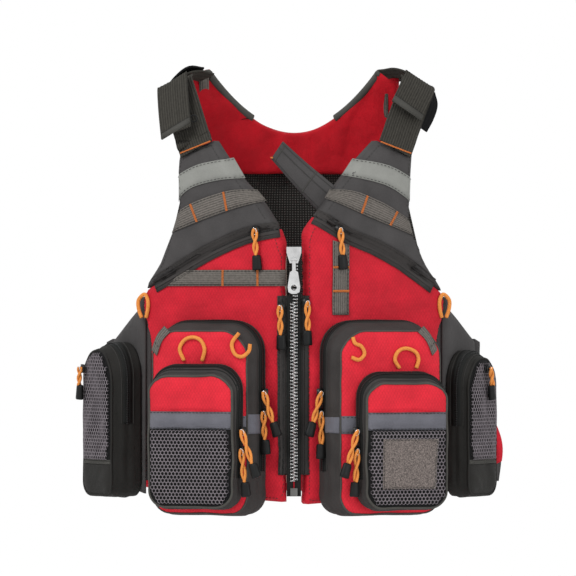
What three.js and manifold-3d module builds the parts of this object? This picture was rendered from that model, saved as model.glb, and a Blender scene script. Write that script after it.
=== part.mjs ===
// A fishing life jacket, standing as it is worn. Millimetres, +Z up. The wearer faces -Y, so the wearer's
// right is -X. The front zip closes in the plane x = 0 and the lowest pocket bottoms are at z = 0.
import * as THREE from 'three';
import { mergeVertices } from 'three/addons/utils/BufferGeometryUtils.js';
import Module from 'manifold-3d';

const wasm = await Module();
wasm.setup();

// ---- Driving dimensions ----
const GAP = 0.3; // between pieces that touch
const WALL = 2; // fabric cover of a padded panel
const FOAM_EASE = 0.4; // foam to cover
const FRONT_Y = -125; // outer face of both fronts beside the zip
const ZIP_HALF = 10; // half the opening that the zip tapes fill
const FRONT_TURN = THREE.MathUtils.degToRad(24); // each front falls back towards the side seam
const FRONT_THICK = 30;
const SIDE_TURN = THREE.MathUtils.degToRad(63);
const SIDE_X = 206; // where the side panel starts
const SIDE_Y = -34;
const SIDE_PANEL_THICK = 8;
const SIDE_PANEL_LENGTH = 101;
const OVER_TOP = 700; // heights that clear the whole jacket, for cutting
const UNDER_HEM = -100;
const WEBBING_THICK = 2.2;
const BAND_THICK = 1.6;
const SHOULDER_WIDTH = 50; // shoulder webbing
const STRAP_THICK = 2.5;
const CORD_RADIUS = 2.6; // orange retaining cord
const PATCH_THICK = 1.6;

// Plan curve of the back: an ellipse arc around the wearer's spine.
const BACK_CENTRE_Y = 48;
const BACK_DEPTH = 95;
const BACK_THICK = 22;
const YOKE_THICK = 18;
const YOKE_REAR_Y = 118;
const MESH_THICK = 3;

// Each front by side, as [distance from the zip, height] pairs on its outer face. The wearer's right front
// is cut back beside the zip slider, which belongs to the left one.
const FRONTS = {
  right: {
    side: -1,
    edge: [[12.5, 352], [12.5, 299], [10, 297], [10, 22]],
    neck: [[16, 359], [27, 389], [50, 427], [74, 455], [96, 485], [111, 507]],
    arm: [[157, 489], [160, 465], [160, 410], [171, 378], [184, 340], [196, 312], [200, 290]],
    hem: [[197, 40], [188, 26], [60, 18], [20, 16]],
    seam: [[10, 391], [27, 388], [64, 380], [104, 363], [140, 343], [178, 318], [214, 292]],
    band: {
      top: [[92, 482], [130, 474], [159, 459]],
      bottom: [[76, 455], [105, 452], [139, 442], [159, 424]],
    },
    daisy: {
      top: [[63, 440], [90, 438], [137, 422], [160, 408]],
      bottom: [[50, 422], [83, 413], [128, 397], [168, 381]],
    },
    main: { inner: 30, outer: 181, depth: 50, top: 262, bottom: 0 },
    small: { inner: 42, outer: 173, depth: 28, top: 203, bottom: 9 },
    sidePocket: { depth: 40, top: 232 },
  },
  left: {
    side: 1,
    edge: [[10, 22]],
    neck: [[10, 338], [14, 358], [21, 385], [39, 410], [73, 460], [115, 507]],
    arm: [[163, 489], [161, 440], [161, 396], [172, 364], [186, 328], [197, 305], [200, 288]],
    hem: [[197, 40], [188, 26], [60, 15], [22, 13]],
    seam: [[16, 416], [36, 403], [74, 379], [106, 366], [145, 345], [178, 318], [214, 286]],
    band: { top: [[90, 481], [128, 473], [161, 456]], bottom: [[75, 458], [124, 446], [160, 424]] },
    daisy: {
      top: [[62, 440], [84, 437], [124, 420], [159, 397]],
      bottom: [[54, 424], [93, 406], [142, 386], [165, 376]],
    },
    main: { inner: 26, outer: 185, depth: 58, top: 262, bottom: 0 },
    small: { inner: 55, outer: 181, depth: 28, top: 193, bottom: 8 },
    sidePocket: { depth: 28, top: 221 },
  },
};

const COLOURS = {
  red: 0xc8202c,
  yokeRed: 0xae1322,
  dark: 0x4a4b4a,
  black: 0x1d1f1d,
  webbing: 0x58574f,
  reflective: 0x9a9c97,
  orange: 0xee9d52,
  steel: 0xdedede,
  dullSteel: 0x6a6b6a,
  foam: 0xd8d4c4,
  patch: 0x7a706c,
};

// ---- Geometry helpers ----
function look(colour, roughness = 0.85, metalness = 0) {
  return new THREE.MeshStandardMaterial({ color: colour, roughness, metalness });
}

function closed(geometry) {
  const plain = geometry.clone();
  plain.deleteAttribute('normal');
  plain.deleteAttribute('uv');
  return mergeVertices(plain, 1e-4);
}

function toSolid(geometry) {
  const plain = closed(geometry);
  return new wasm.Manifold(new wasm.Mesh({
    numProp: 3,
    vertProperties: plain.attributes.position.array,
    triVerts: Uint32Array.from(plain.index.array),
  }));
}

function toGeometry(solid) {
  const mesh = solid.getMesh();
  const geometry = new THREE.BufferGeometry();
  geometry.setAttribute('position', new THREE.BufferAttribute(mesh.vertProperties, 3));
  geometry.setIndex(new THREE.BufferAttribute(mesh.triVerts, 1));
  return geometry;
}

function join(...geometries) {
  return toGeometry(geometries.map(toSolid).reduce((whole, next) => whole.add(next)));
}

function addMesh(parent, name, geometry, material) {
  const mesh = new THREE.Mesh(geometry, material);
  mesh.name = name;
  parent.add(mesh);
  return mesh;
}

// A box whose grid of points is moved by place(across, up, out), each from 0 to 1. Out is towards -Y.
function warpedBox(columns, rows, place) {
  const geometry = new THREE.BoxGeometry(1, 1, 1, columns, rows, 1);
  const position = geometry.attributes.position;
  for (let i = 0; i < position.count; i++) {
    const across = Math.round((position.getX(i) + 0.5) * columns) / columns;
    const up = Math.round((position.getY(i) + 0.5) * rows) / rows;
    const point = place(across, up, position.getZ(i) + 0.5);
    position.setXYZ(i, point.x, point.y, point.z);
  }
  return closed(geometry);
}

function box(low, high) {
  const size = high.map((value, i) => value - low[i]);
  const middle = high.map((value, i) => (value + low[i]) / 2);
  return new THREE.BoxGeometry(...size).translate(...middle);
}

const flat = (points) => points.map(([x, z]) => new THREE.Vector2(x, z));

function smooth(points, steps = 8) {
  return new THREE.SplineCurve(flat(points)).getPoints(steps);
}

// A flat slab: an outline in x and z, between two values of y.
function slab(points, frontY, backY) {
  return new THREE.ExtrudeGeometry(new THREE.Shape(points), { depth: backY - frontY, bevelEnabled: false })
    .rotateX(Math.PI / 2)
    .translate(0, backY, 0);
}

function roundedOutline(left, right, bottom, top, topRadius, bottomRadius) {
  const corner = (x, z, radius, from) => {
    const arc = new THREE.Path().absarc(x, z, radius, from, from + Math.PI / 2, false);
    return arc.getPoints(5);
  };
  return [
    ...corner(right - topRadius, top - topRadius, topRadius, 0),
    ...corner(left + topRadius, top - topRadius, topRadius, Math.PI / 2),
    ...corner(left + bottomRadius, bottom + bottomRadius, bottomRadius, Math.PI),
    ...corner(right - bottomRadius, bottom + bottomRadius, bottomRadius, 1.5 * Math.PI),
  ];
}

// The outline moved inwards by a distance.
function inset(points, distance) {
  const turn = Math.sign(THREE.ShapeUtils.area(points));
  return points.map((point, i) => {
    const before = points[(i + points.length - 1) % points.length];
    const after = points[(i + 1) % points.length];
    const normals = [[before, point], [point, after]].map(([a, b]) =>
      new THREE.Vector2(a.y - b.y, b.x - a.x).normalize().multiplyScalar(turn));
    const middle = normals[0].clone().add(normals[1]).normalize();
    return point.clone().addScaledVector(middle, distance / Math.max(middle.dot(normals[0]), 0.5));
  });
}

// A flat strap along a curve. Across is the direction of its width.
function ribbon(points, across, width, thick, steps) {
  const curve = new THREE.CatmullRomCurve3(points.map((point) => new THREE.Vector3(...point)));
  const side = new THREE.Vector3(...across).normalize();
  return warpedBox(1, steps, (u, v, w) => {
    const tangent = curve.getTangent(v);
    const normal = side.clone().cross(tangent).normalize();
    const middle = curve.getPoint(v).addScaledVector(side, (u - 0.5) * width);
    return middle.addScaledVector(normal, (w - 0.5) * thick);
  });
}

// A round cord through points.
function cord(points, radius, steps) {
  const section = new THREE.Shape().absarc(0, 0, radius, 0, 2 * Math.PI, false);
  const outline = new THREE.Shape(section.getSpacedPoints(8).slice(0, -1));
  const extrudePath = new THREE.CatmullRomCurve3(points.map((point) => new THREE.Vector3(...point)));
  return new THREE.ExtrudeGeometry(outline, { steps, extrudePath, bevelEnabled: false });
}

// ---- The two fronts ----
const along = (x) => (x - ZIP_HALF) / Math.cos(FRONT_TURN);

function onFront(side, points) {
  return points.map(([x, z]) => [side * along(x), z]);
}

// A point that stands off the face by some depth, from its distance to the zip as seen from the front.
function standing(side, x, depth, z) {
  const s = (x - ZIP_HALF - depth * Math.sin(FRONT_TURN)) / Math.cos(FRONT_TURN);
  return [side * s, -depth, z];
}

function frontOutline({ side, edge, neck, arm, hem }) {
  return [
    ...smooth(onFront(side, neck), 12),
    ...smooth(onFront(side, arm), 12),
    ...flat(onFront(side, [...hem, ...edge.toReversed()])),
  ];
}

// Everything past the plane |x| = ZIP_HALF + margin, seen from a front's own frame.
function zipSlot(side, margin) {
  const reach = 2 * FRONT_THICK;
  const slot = box([-reach, -reach, -reach], [ZIP_HALF + margin, 2 * reach, OVER_TOP]);
  if (side < 0) slot.rotateY(Math.PI).translate(0, 0, OVER_TOP - reach);
  return slot.translate(-side * ZIP_HALF, 0, 0).rotateZ(-side * FRONT_TURN);
}

function halfOfFront(side, seam, above) {
  const line = smooth(onFront(side, seam), 12).map((point) => new THREE.Vector2(point.x, point.y + above));
  const far = above > 0 ? OVER_TOP : UNDER_HEM;
  const ends = flat([[line.at(-1).x, far], [line[0].x, far]]);
  return slab([...line, ...ends], -FRONT_THICK, 2 * FRONT_THICK);
}

function paddedFront(parent, name, front) {
  const { side, seam } = front;
  const outline = frontOutline(front);
  const inside = inset(outline, WALL);
  const core = inset(outline, WALL + FOAM_EASE);
  const whole = toSolid(slab(outline, 0, FRONT_THICK)).subtract(toSolid(zipSlot(side, 0)));
  const hollow = toSolid(slab(inside, WALL, FRONT_THICK - WALL)).subtract(toSolid(zipSlot(side, WALL)));
  const cover = whole.subtract(hollow);
  const upper = cover.intersect(toSolid(halfOfFront(side, seam, 1)));
  const lower = cover.intersect(toSolid(halfOfFront(side, seam, -1)));
  const foam = toSolid(slab(core, WALL + FOAM_EASE, FRONT_THICK - WALL - FOAM_EASE))
    .subtract(toSolid(zipSlot(side, WALL + FOAM_EASE)));
  addMesh(parent, `upper_front_cover_${name}`, toGeometry(upper), look(COLOURS.dark));
  addMesh(parent, `lower_front_cover_${name}`, toGeometry(lower), look(COLOURS.red));
  addMesh(parent, `front_foam_${name}`, toGeometry(foam), look(COLOURS.foam));
}

function strip(side, { top, bottom }, thick) {
  const outline = [...smooth(onFront(side, top)), ...smooth(onFront(side, bottom)).reverse()];
  return slab(outline, -GAP - thick, -GAP);
}

// Corner radii of the pockets.
const CORNERS = {
  main: { upper: 42, lower: 28 },
  small: { upper: 34, lower: 26 },
  side: { upper: 46, lower: 22 },
};

function pocket(side, { inner, outer, top, bottom }, base, depth, corners) {
  const [left, right] = side > 0 ? [inner, outer] : [-outer, -inner];
  const outline = roundedOutline(left, right, bottom, top, corners.upper, corners.lower);
  return slab(outline, -base - depth, -base);
}

// A zip slider with its looped cord and moulded tip, hanging in the plane of the front. It is modelled
// with the slider's middle at the origin. Lean is how far the tip's end stands to the side.
function zipPull(length, lean, forward = 2) {
  const slider = box([-SLIDER.half, -SLIDER.deep, -SLIDER.tall], [SLIDER.half, SLIDER.deep, SLIDER.tall]);
  const front = -SLIDER.deep - forward;
  const direction = new THREE.Vector2(lean, -length).normalize();
  const width = new THREE.Vector2(-direction.y, direction.x);
  const start = new THREE.Vector2(0, 2);
  const tipStart = start.clone().addScaledVector(direction, length - TIP_LENGTH);
  const end = start.clone().addScaledVector(direction, length);
  const bar = (from, to, fromHalf, toHalf, frontY, backY) => slab([
    from.clone().addScaledVector(width, -fromHalf),
    to.clone().addScaledVector(width, -toHalf),
    to.clone().addScaledVector(width, toHalf),
    from.clone().addScaledVector(width, fromHalf),
  ], frontY, backY);
  const cordHalf = 3.2;
  const tipRoot = tipStart.clone().addScaledVector(direction, -2);
  const loop = bar(start, tipStart, cordHalf, cordHalf, front - 1.5, -1.5);
  const tip = bar(tipRoot, end, 4.2, 6, front - 2.5, front + 1.5);
  return join(slider, loop, tip);
}

function addPull(parent, name, side, place, length, lean, forward) {
  const mesh = addMesh(parent, name, zipPull(length, side * lean, forward), look(COLOURS.orange, 0.6));
  mesh.position.set(...place);
}

// Half of the main zip: a tape behind the face of the fronts, and a bead for its teeth. The right half is
// the left one turned about the zip's own line, so the bead is as deep in front of the tape as behind it.
function zipTape(side, bottom, top) {
  const tapeFront = 1;
  const tapeBack = 2.4;
  const beadReach = 2;
  const tape = box([0.9, tapeFront, bottom], [ZIP_HALF - GAP, tapeBack, top]);
  const bead = box([0.6, tapeFront - beadReach, bottom + 2], [4.4, tapeBack + beadReach, top - 4]);
  const half = join(tape, bead);
  return side > 0 ? half : half.rotateZ(Math.PI).translate(0, tapeFront + tapeBack, 0);
}

function buildFront(name, front) {
  const { side, main, small } = front;
  const group = new THREE.Group();
  group.position.set(side * ZIP_HALF, FRONT_Y, 0);
  group.rotation.z = side * FRONT_TURN;
  paddedFront(group, name, front);
  const band = strip(side, front.band, BAND_THICK);
  const daisy = strip(side, front.daisy, WEBBING_THICK);
  addMesh(group, `reflective_band_${name}`, band, look(COLOURS.reflective, 0.5));
  addMesh(group, `shoulder_daisy_webbing_${name}`, daisy, look(COLOURS.webbing));
  const mainPocket = pocket(side, main, GAP, main.depth, CORNERS.main);
  addMesh(group, `main_pocket_${name}`, mainPocket, look(COLOURS.red));
  const smallBase = GAP + main.depth + GAP;
  const smallPocket = pocket(side, small, smallBase, small.depth, CORNERS.small);
  addMesh(group, `small_pocket_${name}`, smallPocket, look(COLOURS.red));
  addPulls(group, name, front);
  addCordLoops(group, name, front);
  return group;
}

// Where each slider stands and how its pull hangs. Length and lean are the pull's, forward is how far its
// cord stands off the slider. The chest and welt zips have their place given as a distance to the main zip.
const SLIDER = { half: 4.5, deep: 2.5, tall: 6 };
const TIP_LENGTH = 20;
const MAIN_ZIP_DEPTH = 14;
const SMALL_ZIP_DEPTH = 10;
const FACE_ZIP_DEPTH = 3;
const PULLS = {
  right: {
    main: { upper: [165, 62, -22, 5], lower: [138, 58, -2, 2] },
    small: { upper: [114, 66, -24, 5], lower: [88, 64, -6, 2] },
    chest: { x: 51, z: 385, hang: [56, -2, 1] },
    welt: { x: 16.5, z: 281, hang: [60, 0, 0] },
  },
  left: {
    main: { upper: [165, 62, -22, 5], lower: [138, 64, -2, 2] },
    small: { upper: [114, 66, -24, 5], lower: [88, 64, -6, 2] },
    chest: { x: 61, z: 386, hang: [56, 4, 1] },
    welt: { x: 16.5, z: 287, hang: [60, 0, 0] },
  },
};

// Pulls stand beside the inner wall of their pocket; the upper one leans out over the lower one.
function addPulls(group, name, { side, main, small }) {
  const walls = {
    main: { inner: main.inner, depth: MAIN_ZIP_DEPTH },
    small: { inner: small.inner, depth: main.depth + SMALL_ZIP_DEPTH },
  };
  for (const [pocketName, { inner, depth }] of Object.entries(walls)) {
    for (const [level, [z, ...hang]] of Object.entries(PULLS[name][pocketName])) {
      const place = [side * (inner - GAP - SLIDER.half), -depth, z];
      addPull(group, `${pocketName}_pocket_${level}_pull_${name}`, side, place, ...hang);
    }
  }
  for (const zip of ['chest', 'welt']) {
    const { x, z, hang } = PULLS[name][zip];
    const node = `${zip}_zip_pull_${name}`;
    addPull(group, node, side, standing(side, x, FACE_ZIP_DEPTH, z), ...hang);
  }
}

// Routes of the orange cord loops, as distances to the main zip and heights.
const CORDS = {
  right: {
    arch: [[145, 205], [151, 224], [145, 236], [134, 240], [123, 236], [117, 224], [121, 205]],
    hook: [[73, 246], [81, 232], [77, 218], [68, 214], [60, 221], [58, 231]],
  },
  left: {
    arch: [[139, 196], [133, 210], [138, 221], [149, 225], [161, 220], [165, 210], [162, 196]],
    hook: [[78, 240], [80, 232], [88, 228], [92, 218], [85, 210], [75, 213]],
  },
};
const ARMHOLE_CORD = [[192, 266], [187, 278], [187, 290], [193, 298], [200, 290], [200, 278], [198, 266]];

// Cord loops, sewn down at both ends on the main pocket's face and at the armhole.
function addCordLoops(group, name, { side, main, small }) {
  const face = main.depth + GAP + GAP + CORD_RADIUS;
  const lowest = small.top + 2 * CORD_RADIUS;
  for (const [kind, points] of Object.entries(CORDS[name])) {
    const route = points.map(([x, z]) => standing(side, x, face, Math.max(z, lowest)));
    addMesh(group, `pocket_cord_${kind}_${name}`, cord(route, CORD_RADIUS, 18), look(COLOURS.orange, 0.6));
  }
  const route = ARMHOLE_CORD.map(([x, z]) => standing(side, x, GAP + CORD_RADIUS, z));
  addMesh(group, `armhole_cord_${name}`, cord(route, CORD_RADIUS, 16), look(COLOURS.orange, 0.6));
}

// The chest webbing lies level on the right front and stands upright on the left one.
const CHEST_WEBBING = {
  right: [[13, 309], [13, 331], [151, 331], [170, 309]],
  left: [[51, 270], [51, 371], [73, 365], [73, 270]],
};
const PATCH_OUTLINE = [[82, 36], [82, 103], [164, 103], [160, 36]];

function addChestWebbing(group, name, { side }) {
  const outline = flat(onFront(side, CHEST_WEBBING[name]));
  const webbing = slab(outline, -GAP - WEBBING_THICK, -GAP);
  addMesh(group, `chest_webbing_${name}`, webbing, look(COLOURS.webbing));
}

function addHookPatch(group, { main, small }) {
  const face = GAP + main.depth + GAP + small.depth + GAP;
  const patch = slab(flat(PATCH_OUTLINE), -face - PATCH_THICK, -face);
  addMesh(group, 'hook_and_loop_patch', patch, look(COLOURS.patch, 0.95));
}

// ---- Main zip ----
const ZIP_BOTTOM = 40;
const ZIP_TOP = { right: 296, left: 364 };
const BOTTOM_BOX = { half: 4.8, front: 2, back: 6, low: 25, high: 36 };
const TAB_PIVOT = { y: FRONT_Y - 8.5, z: 345 };

function addMainZip(parent) {
  for (const [name, top] of Object.entries(ZIP_TOP)) {
    const tape = zipTape(FRONTS[name].side, ZIP_BOTTOM, top).translate(0, FRONT_Y, 0);
    addMesh(parent, `zip_tape_${name}`, tape, look(COLOURS.black, 0.7));
  }
  const { half, front, back, low, high } = BOTTOM_BOX;
  const retainer = box([-half, FRONT_Y - front, low], [half, FRONT_Y + back, high]);
  addMesh(parent, 'zip_bottom_box', retainer, look(COLOURS.dullSteel, 0.4, 0.6));
  addMesh(parent, 'main_zip_slider', mainSlider(), look(COLOURS.steel, 0.25, 1));
  addMesh(parent, 'main_zip_pull_tab', pullTab(), look(COLOURS.steel, 0.25, 1));
}

// Front plate, back plate and the thin wedge between the two rows of teeth, with an eye bar for the tab.
const MAIN_SLIDER = {
  top: 362,
  shoulder: 354,
  bottom: 340,
  footHalf: 5.5,
  frontPlate: { half: 10, from: -3.9, to: -1.4 },
  backPlate: { half: 8.5, from: 4.8, to: 6.4 },
  wedge: { half: 0.3, from: -3, to: 5.5, low: 350, high: 361 },
};

function mainSlider() {
  const { top, shoulder, bottom, footHalf, frontPlate, backPlate, wedge } = MAIN_SLIDER;
  const plate = ({ half, from, to }) => slab(flat([
    [-half, top], [half, top], [half, shoulder], [footHalf, bottom], [-footHalf, bottom], [-half, shoulder],
  ]), FRONT_Y + from, FRONT_Y + to);
  const divider = box(
    [-wedge.half, FRONT_Y + wedge.from, wedge.low],
    [wedge.half, FRONT_Y + wedge.to, wedge.high]);
  const postReach = { x: 4.7, half: 0.8, z: 1.5 };
  const post = (side) => box(
    [side * postReach.x - postReach.half, TAB_PIVOT.y - postReach.z, TAB_PIVOT.z - postReach.z],
    [side * postReach.x + postReach.half, FRONT_Y - 2.5, TAB_PIVOT.z + postReach.z]);
  const bar = new THREE.CylinderGeometry(0.9, 0.9, 2 * postReach.x - 0.4, 10)
    .rotateZ(Math.PI / 2)
    .translate(0, TAB_PIVOT.y, TAB_PIVOT.z);
  return join(plate(frontPlate), plate(backPlate), divider, post(-1), post(1), bar);
}

// A barrel on the eye bar, and a plate that widens towards its lower end, with a round hole.
function pullTab() {
  const bore = 1.3;
  const rim = 2.2;
  const half = 3.4;
  const thick = 1.8;
  const hole = { z: 307, radius: 4 };
  const section = flat([[bore, -half], [rim, -half], [rim, half], [bore, half], [bore, -half]]);
  const barrel = new THREE.LatheGeometry(section, 12)
    .rotateZ(Math.PI / 2)
    .translate(0, TAB_PIVOT.y, TAB_PIVOT.z);
  const edge = [[2.4, 343.4], [2.4, 330], [5.5, 328], [8.5, 308], [7.5, 301], [3, 298.5]];
  const plate = new THREE.Shape(flat([...edge, ...edge.toReversed().map(([x, z]) => [-x, z])]));
  plate.holes.push(new THREE.Path().absarc(0, hole.z, hole.radius, 0, 2 * Math.PI, false));
  const solid = new THREE.ExtrudeGeometry(plate, { depth: thick, bevelEnabled: false, curveSegments: 6 })
    .rotateX(Math.PI / 2)
    .translate(0, TAB_PIVOT.y + thick / 2, 0);
  return join(barrel, solid);
}

// ---- Shoulders ----
const SHOULDERS = {
  right: {
    side: -1,
    lower: [[134, -70.5, 500], [136, -66, 506], [138, -61, 512]],
    upper: [[139, -59, 515], [153, -28, 560], [161, -9, 585], [160, 0, 590]],
    flap: [[164, -17, 590], [166, -26, 586], [164, -48, 556], [160, -71, 519]],
    across: [46, 20, -18],
    flapAcross: [40, 10, -24],
    flapWidth: 46,
  },
  left: {
    side: 1,
    lower: [[139, -69.5, 500], [144, -61, 514], [148, -53, 526]],
    upper: [[149, -51, 529], [160, -30, 558], [170, -10, 584], [168, 0, 590]],
    flap: [[171, -17, 592], [172, -26, 587], [162, -48, 566], [153, -58, 548]],
    across: [48, 20, -18],
    flapAcross: [36, 10, -25],
    flapWidth: 48,
  },
};

function addShoulder(parent, name, { side, lower, upper, flap, across, flapAcross, flapWidth }) {
  const mirror = (points) => points.map(([x, y, z]) => [side * x, y, z]);
  const wide = ([x, y, z]) => (side > 0 ? [x, y, z] : [x, -y, -z]);
  addMesh(parent, `shoulder_webbing_lower_${name}`,
    ribbon(mirror(lower), wide(across), SHOULDER_WIDTH, STRAP_THICK, 2), look(COLOURS.webbing));
  addMesh(parent, `shoulder_webbing_upper_${name}`,
    ribbon(mirror(upper), wide(across), SHOULDER_WIDTH, STRAP_THICK, 5), look(COLOURS.webbing));
  addMesh(parent, `shoulder_strap_end_${name}`,
    ribbon(mirror(flap), wide(flapAcross), flapWidth, STRAP_THICK, 4), look(COLOURS.webbing));
}

const STRAP_RING = { radius: 4.6, wire: 0.9, place: [-136.2, -66, 537] };
const NECK_STRAP = {
  route: [[39, -90, 432], [10, -84, 461], [-23, -76, 494]],
  across: [27, -6, 31],
  width: 29,
  thick: 4,
};

function addStrapRing(parent) {
  const { radius, wire, place } = STRAP_RING;
  const ring = new THREE.TorusGeometry(radius, wire, 6, 14).rotateX(Math.PI / 2).translate(...place);
  addMesh(parent, 'shoulder_strap_ring', ring, look(COLOURS.black, 0.4));
}

function addNeckStrap(parent) {
  const { route, across, width, thick } = NECK_STRAP;
  addMesh(parent, 'neck_strap', ribbon(route, across, width, thick, 4), look(COLOURS.dark));
}

// ---- Back ----
// A point on the back's plan ellipse: turn is from the spine, inwards is the depth below the outer face.
function onBack(half, depth, turn, inwards, z) {
  return new THREE.Vector3(
    (half - inwards) * Math.sin(turn), BACK_CENTRE_Y + (depth - inwards) * Math.cos(turn), z);
}

const LOWER_BACK = {
  turn: THREE.MathUtils.degToRad(80),
  narrow: 264, // half its width from a height of narrowFrom up
  wider: 26, // how much more that is up to a height of wideTo
  wideTo: 60,
  narrowFrom: 180,
  bottom: 22,
  cornerRise: 46,
  top: 250,
  topFall: 14,
};
const BACK_MESH = {
  turn: THREE.MathUtils.degToRad(65),
  bottom: { z: 252, half: 222, depth: 86 },
  top: { z: 460, half: 163, depth: 76 },
};

function lowerBack(outer, inner, trim) {
  const { turn: reach, narrow, wider, wideTo, narrowFrom, bottom, cornerRise, top, topFall } = LOWER_BACK;
  const half = (z) => {
    const share = THREE.MathUtils.clamp((z - wideTo) / (narrowFrom - wideTo), 0, 1);
    return narrow + wider * Math.cos(share * Math.PI / 2);
  };
  return warpedBox(16, 5, (u, v, w) => {
    const turn = (2 * u - 1) * (reach - trim / narrow);
    const low = bottom + cornerRise * Math.sin(Math.abs(turn)) ** 6;
    const high = top - topFall * Math.sin(turn) ** 2;
    const z = THREE.MathUtils.lerp(low + trim, high - trim, v);
    return onBack(half(z), BACK_DEPTH, turn, THREE.MathUtils.lerp(outer, inner, w), z);
  });
}

// A cover around a hollow. Its lower edge has a slot in the middle, where the lining is open for the foam.
const SLOT = { half: 40, wall: 4, below: 12, above: 8 };

function hollowCover(cover, hollow, outerY, thick, hem) {
  const slot = box(
    [-SLOT.half, outerY - thick + SLOT.wall, hem - SLOT.below],
    [SLOT.half, outerY - SLOT.wall, hem + SLOT.above]);
  return toGeometry(toSolid(cover).subtract(toSolid(hollow)).subtract(toSolid(slot)));
}

function addLowerBack(parent) {
  const rear = BACK_CENTRE_Y + BACK_DEPTH;
  const hollow = lowerBack(WALL, BACK_THICK - WALL, WALL);
  const pad = lowerBack(0, BACK_THICK, 0);
  const cover = hollowCover(pad, hollow, rear, BACK_THICK, LOWER_BACK.bottom);
  addMesh(parent, 'lower_back_cover', cover, look(COLOURS.red));
  const ease = WALL + FOAM_EASE;
  addMesh(parent, 'lower_back_foam', lowerBack(ease, BACK_THICK - ease, ease), look(COLOURS.foam));
}

function addBackMesh(parent) {
  const { turn, bottom, top } = BACK_MESH;
  const mesh = warpedBox(12, 5, (u, v, w) => {
    const between = (key) => THREE.MathUtils.lerp(bottom[key], top[key], v);
    const [z, half, depth] = ['z', 'half', 'depth'].map(between);
    return onBack(half, depth, (2 * u - 1) * turn, w * MESH_THICK, z);
  });
  addMesh(parent, 'back_mesh', mesh, look(COLOURS.black, 0.8));
}

// The yoke crosses the shoulder blades and climbs as two wings to the tops of the shoulders.
const YOKE = {
  half: 146,
  bottom: 463,
  neck: 524, // height of its top edge behind the neck
  wingRise: 84,
  wing: { from: 30, to: 118 }, // where the wings start to rise, and their peaks
  fall: 0.45, // slope past the peaks
  forward: 84, // how far the wings lean forwards at lean.full and above lean.from
  lean: { from: 430, full: 610, power: 1.3 },
};

function yoke(outer, inner, trim) {
  const { half, bottom, neck, wingRise, wing, fall, forward, lean } = YOKE;
  return warpedBox(14, 5, (u, v, w) => {
    const x = (2 * u - 1) * (half - trim);
    const reach = Math.abs(x);
    const rise = wingRise * THREE.MathUtils.smoothstep(reach, wing.from, wing.to);
    const top = neck + rise - fall * Math.max(reach - wing.to, 0);
    const z = THREE.MathUtils.lerp(bottom + trim, top - trim, v);
    const height = (z - lean.from) / (lean.full - lean.from);
    const leaning = forward * (reach / half) ** 2 * height ** lean.power;
    return new THREE.Vector3(x, YOKE_REAR_Y - leaning - THREE.MathUtils.lerp(outer, inner, w), z);
  });
}

function addYoke(parent) {
  const hollow = yoke(WALL, YOKE_THICK - WALL, WALL);
  const pad = yoke(0, YOKE_THICK, 0);
  const cover = hollowCover(pad, hollow, YOKE_REAR_Y, YOKE_THICK, YOKE.bottom);
  addMesh(parent, 'yoke_cover', cover, look(COLOURS.yokeRed));
  const ease = WALL + FOAM_EASE;
  addMesh(parent, 'yoke_foam', yoke(ease, YOKE_THICK - ease, ease), look(COLOURS.foam));
}

// ---- Sides ----
// Both outlines are [distance from the side seam, height]; the pull stands on the pocket's face.
const SIDE_PANEL = [[0, 26], [SIDE_PANEL_LENGTH, 40], [SIDE_PANEL_LENGTH, 232], [44, 264], [0, 288]];
const SIDE_POCKET = { inner: 4, outer: 100, bottom: 22 };
const SIDE_PULL = { across: { right: 84, left: 56 }, z: 196, hang: [44, 6, 1] };

function buildSide(name, { side, sidePocket }) {
  const group = new THREE.Group();
  group.position.set(side * SIDE_X, SIDE_Y, 0);
  group.rotation.z = side * SIDE_TURN;
  const outline = flat(SIDE_PANEL.map(([x, z]) => [side * x, z]));
  addMesh(group, `side_panel_${name}`, slab(outline, 0, SIDE_PANEL_THICK), look(COLOURS.dark));
  const limits = { ...SIDE_POCKET, top: sidePocket.top };
  const bag = pocket(side, limits, GAP, sidePocket.depth, CORNERS.side);
  addMesh(group, `side_pocket_${name}`, bag, look(COLOURS.dark));
  const face = GAP + sidePocket.depth + GAP;
  const place = [side * SIDE_PULL.across[name], -face - SLIDER.deep, SIDE_PULL.z];
  addPull(group, `side_pocket_pull_${name}`, side, place, ...SIDE_PULL.hang);
  return group;
}

// ---- The whole jacket ----
const jacket = new THREE.Group();
addYoke(jacket);
addBackMesh(jacket);
addLowerBack(jacket);
const fronts = {};
for (const [name, front] of Object.entries(FRONTS)) {
  fronts[name] = buildFront(name, front);
  addChestWebbing(fronts[name], name, front);
  jacket.add(fronts[name]);
  jacket.add(buildSide(name, front));
  addShoulder(jacket, name, SHOULDERS[name]);
}
addHookPatch(fronts.left, FRONTS.left);
addMainZip(jacket);
addStrapRing(jacket);
addNeckStrap(jacket);

export default jacket;
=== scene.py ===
"""A fishing life jacket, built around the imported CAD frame. Lengths are in millimetres until build()."""
import math
import bmesh
import bpy
import numpy as np
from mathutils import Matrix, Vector, noise
from mathutils.bvhtree import BVHTree
from mathutils.geometry import delaunay_2d_cdt


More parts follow.
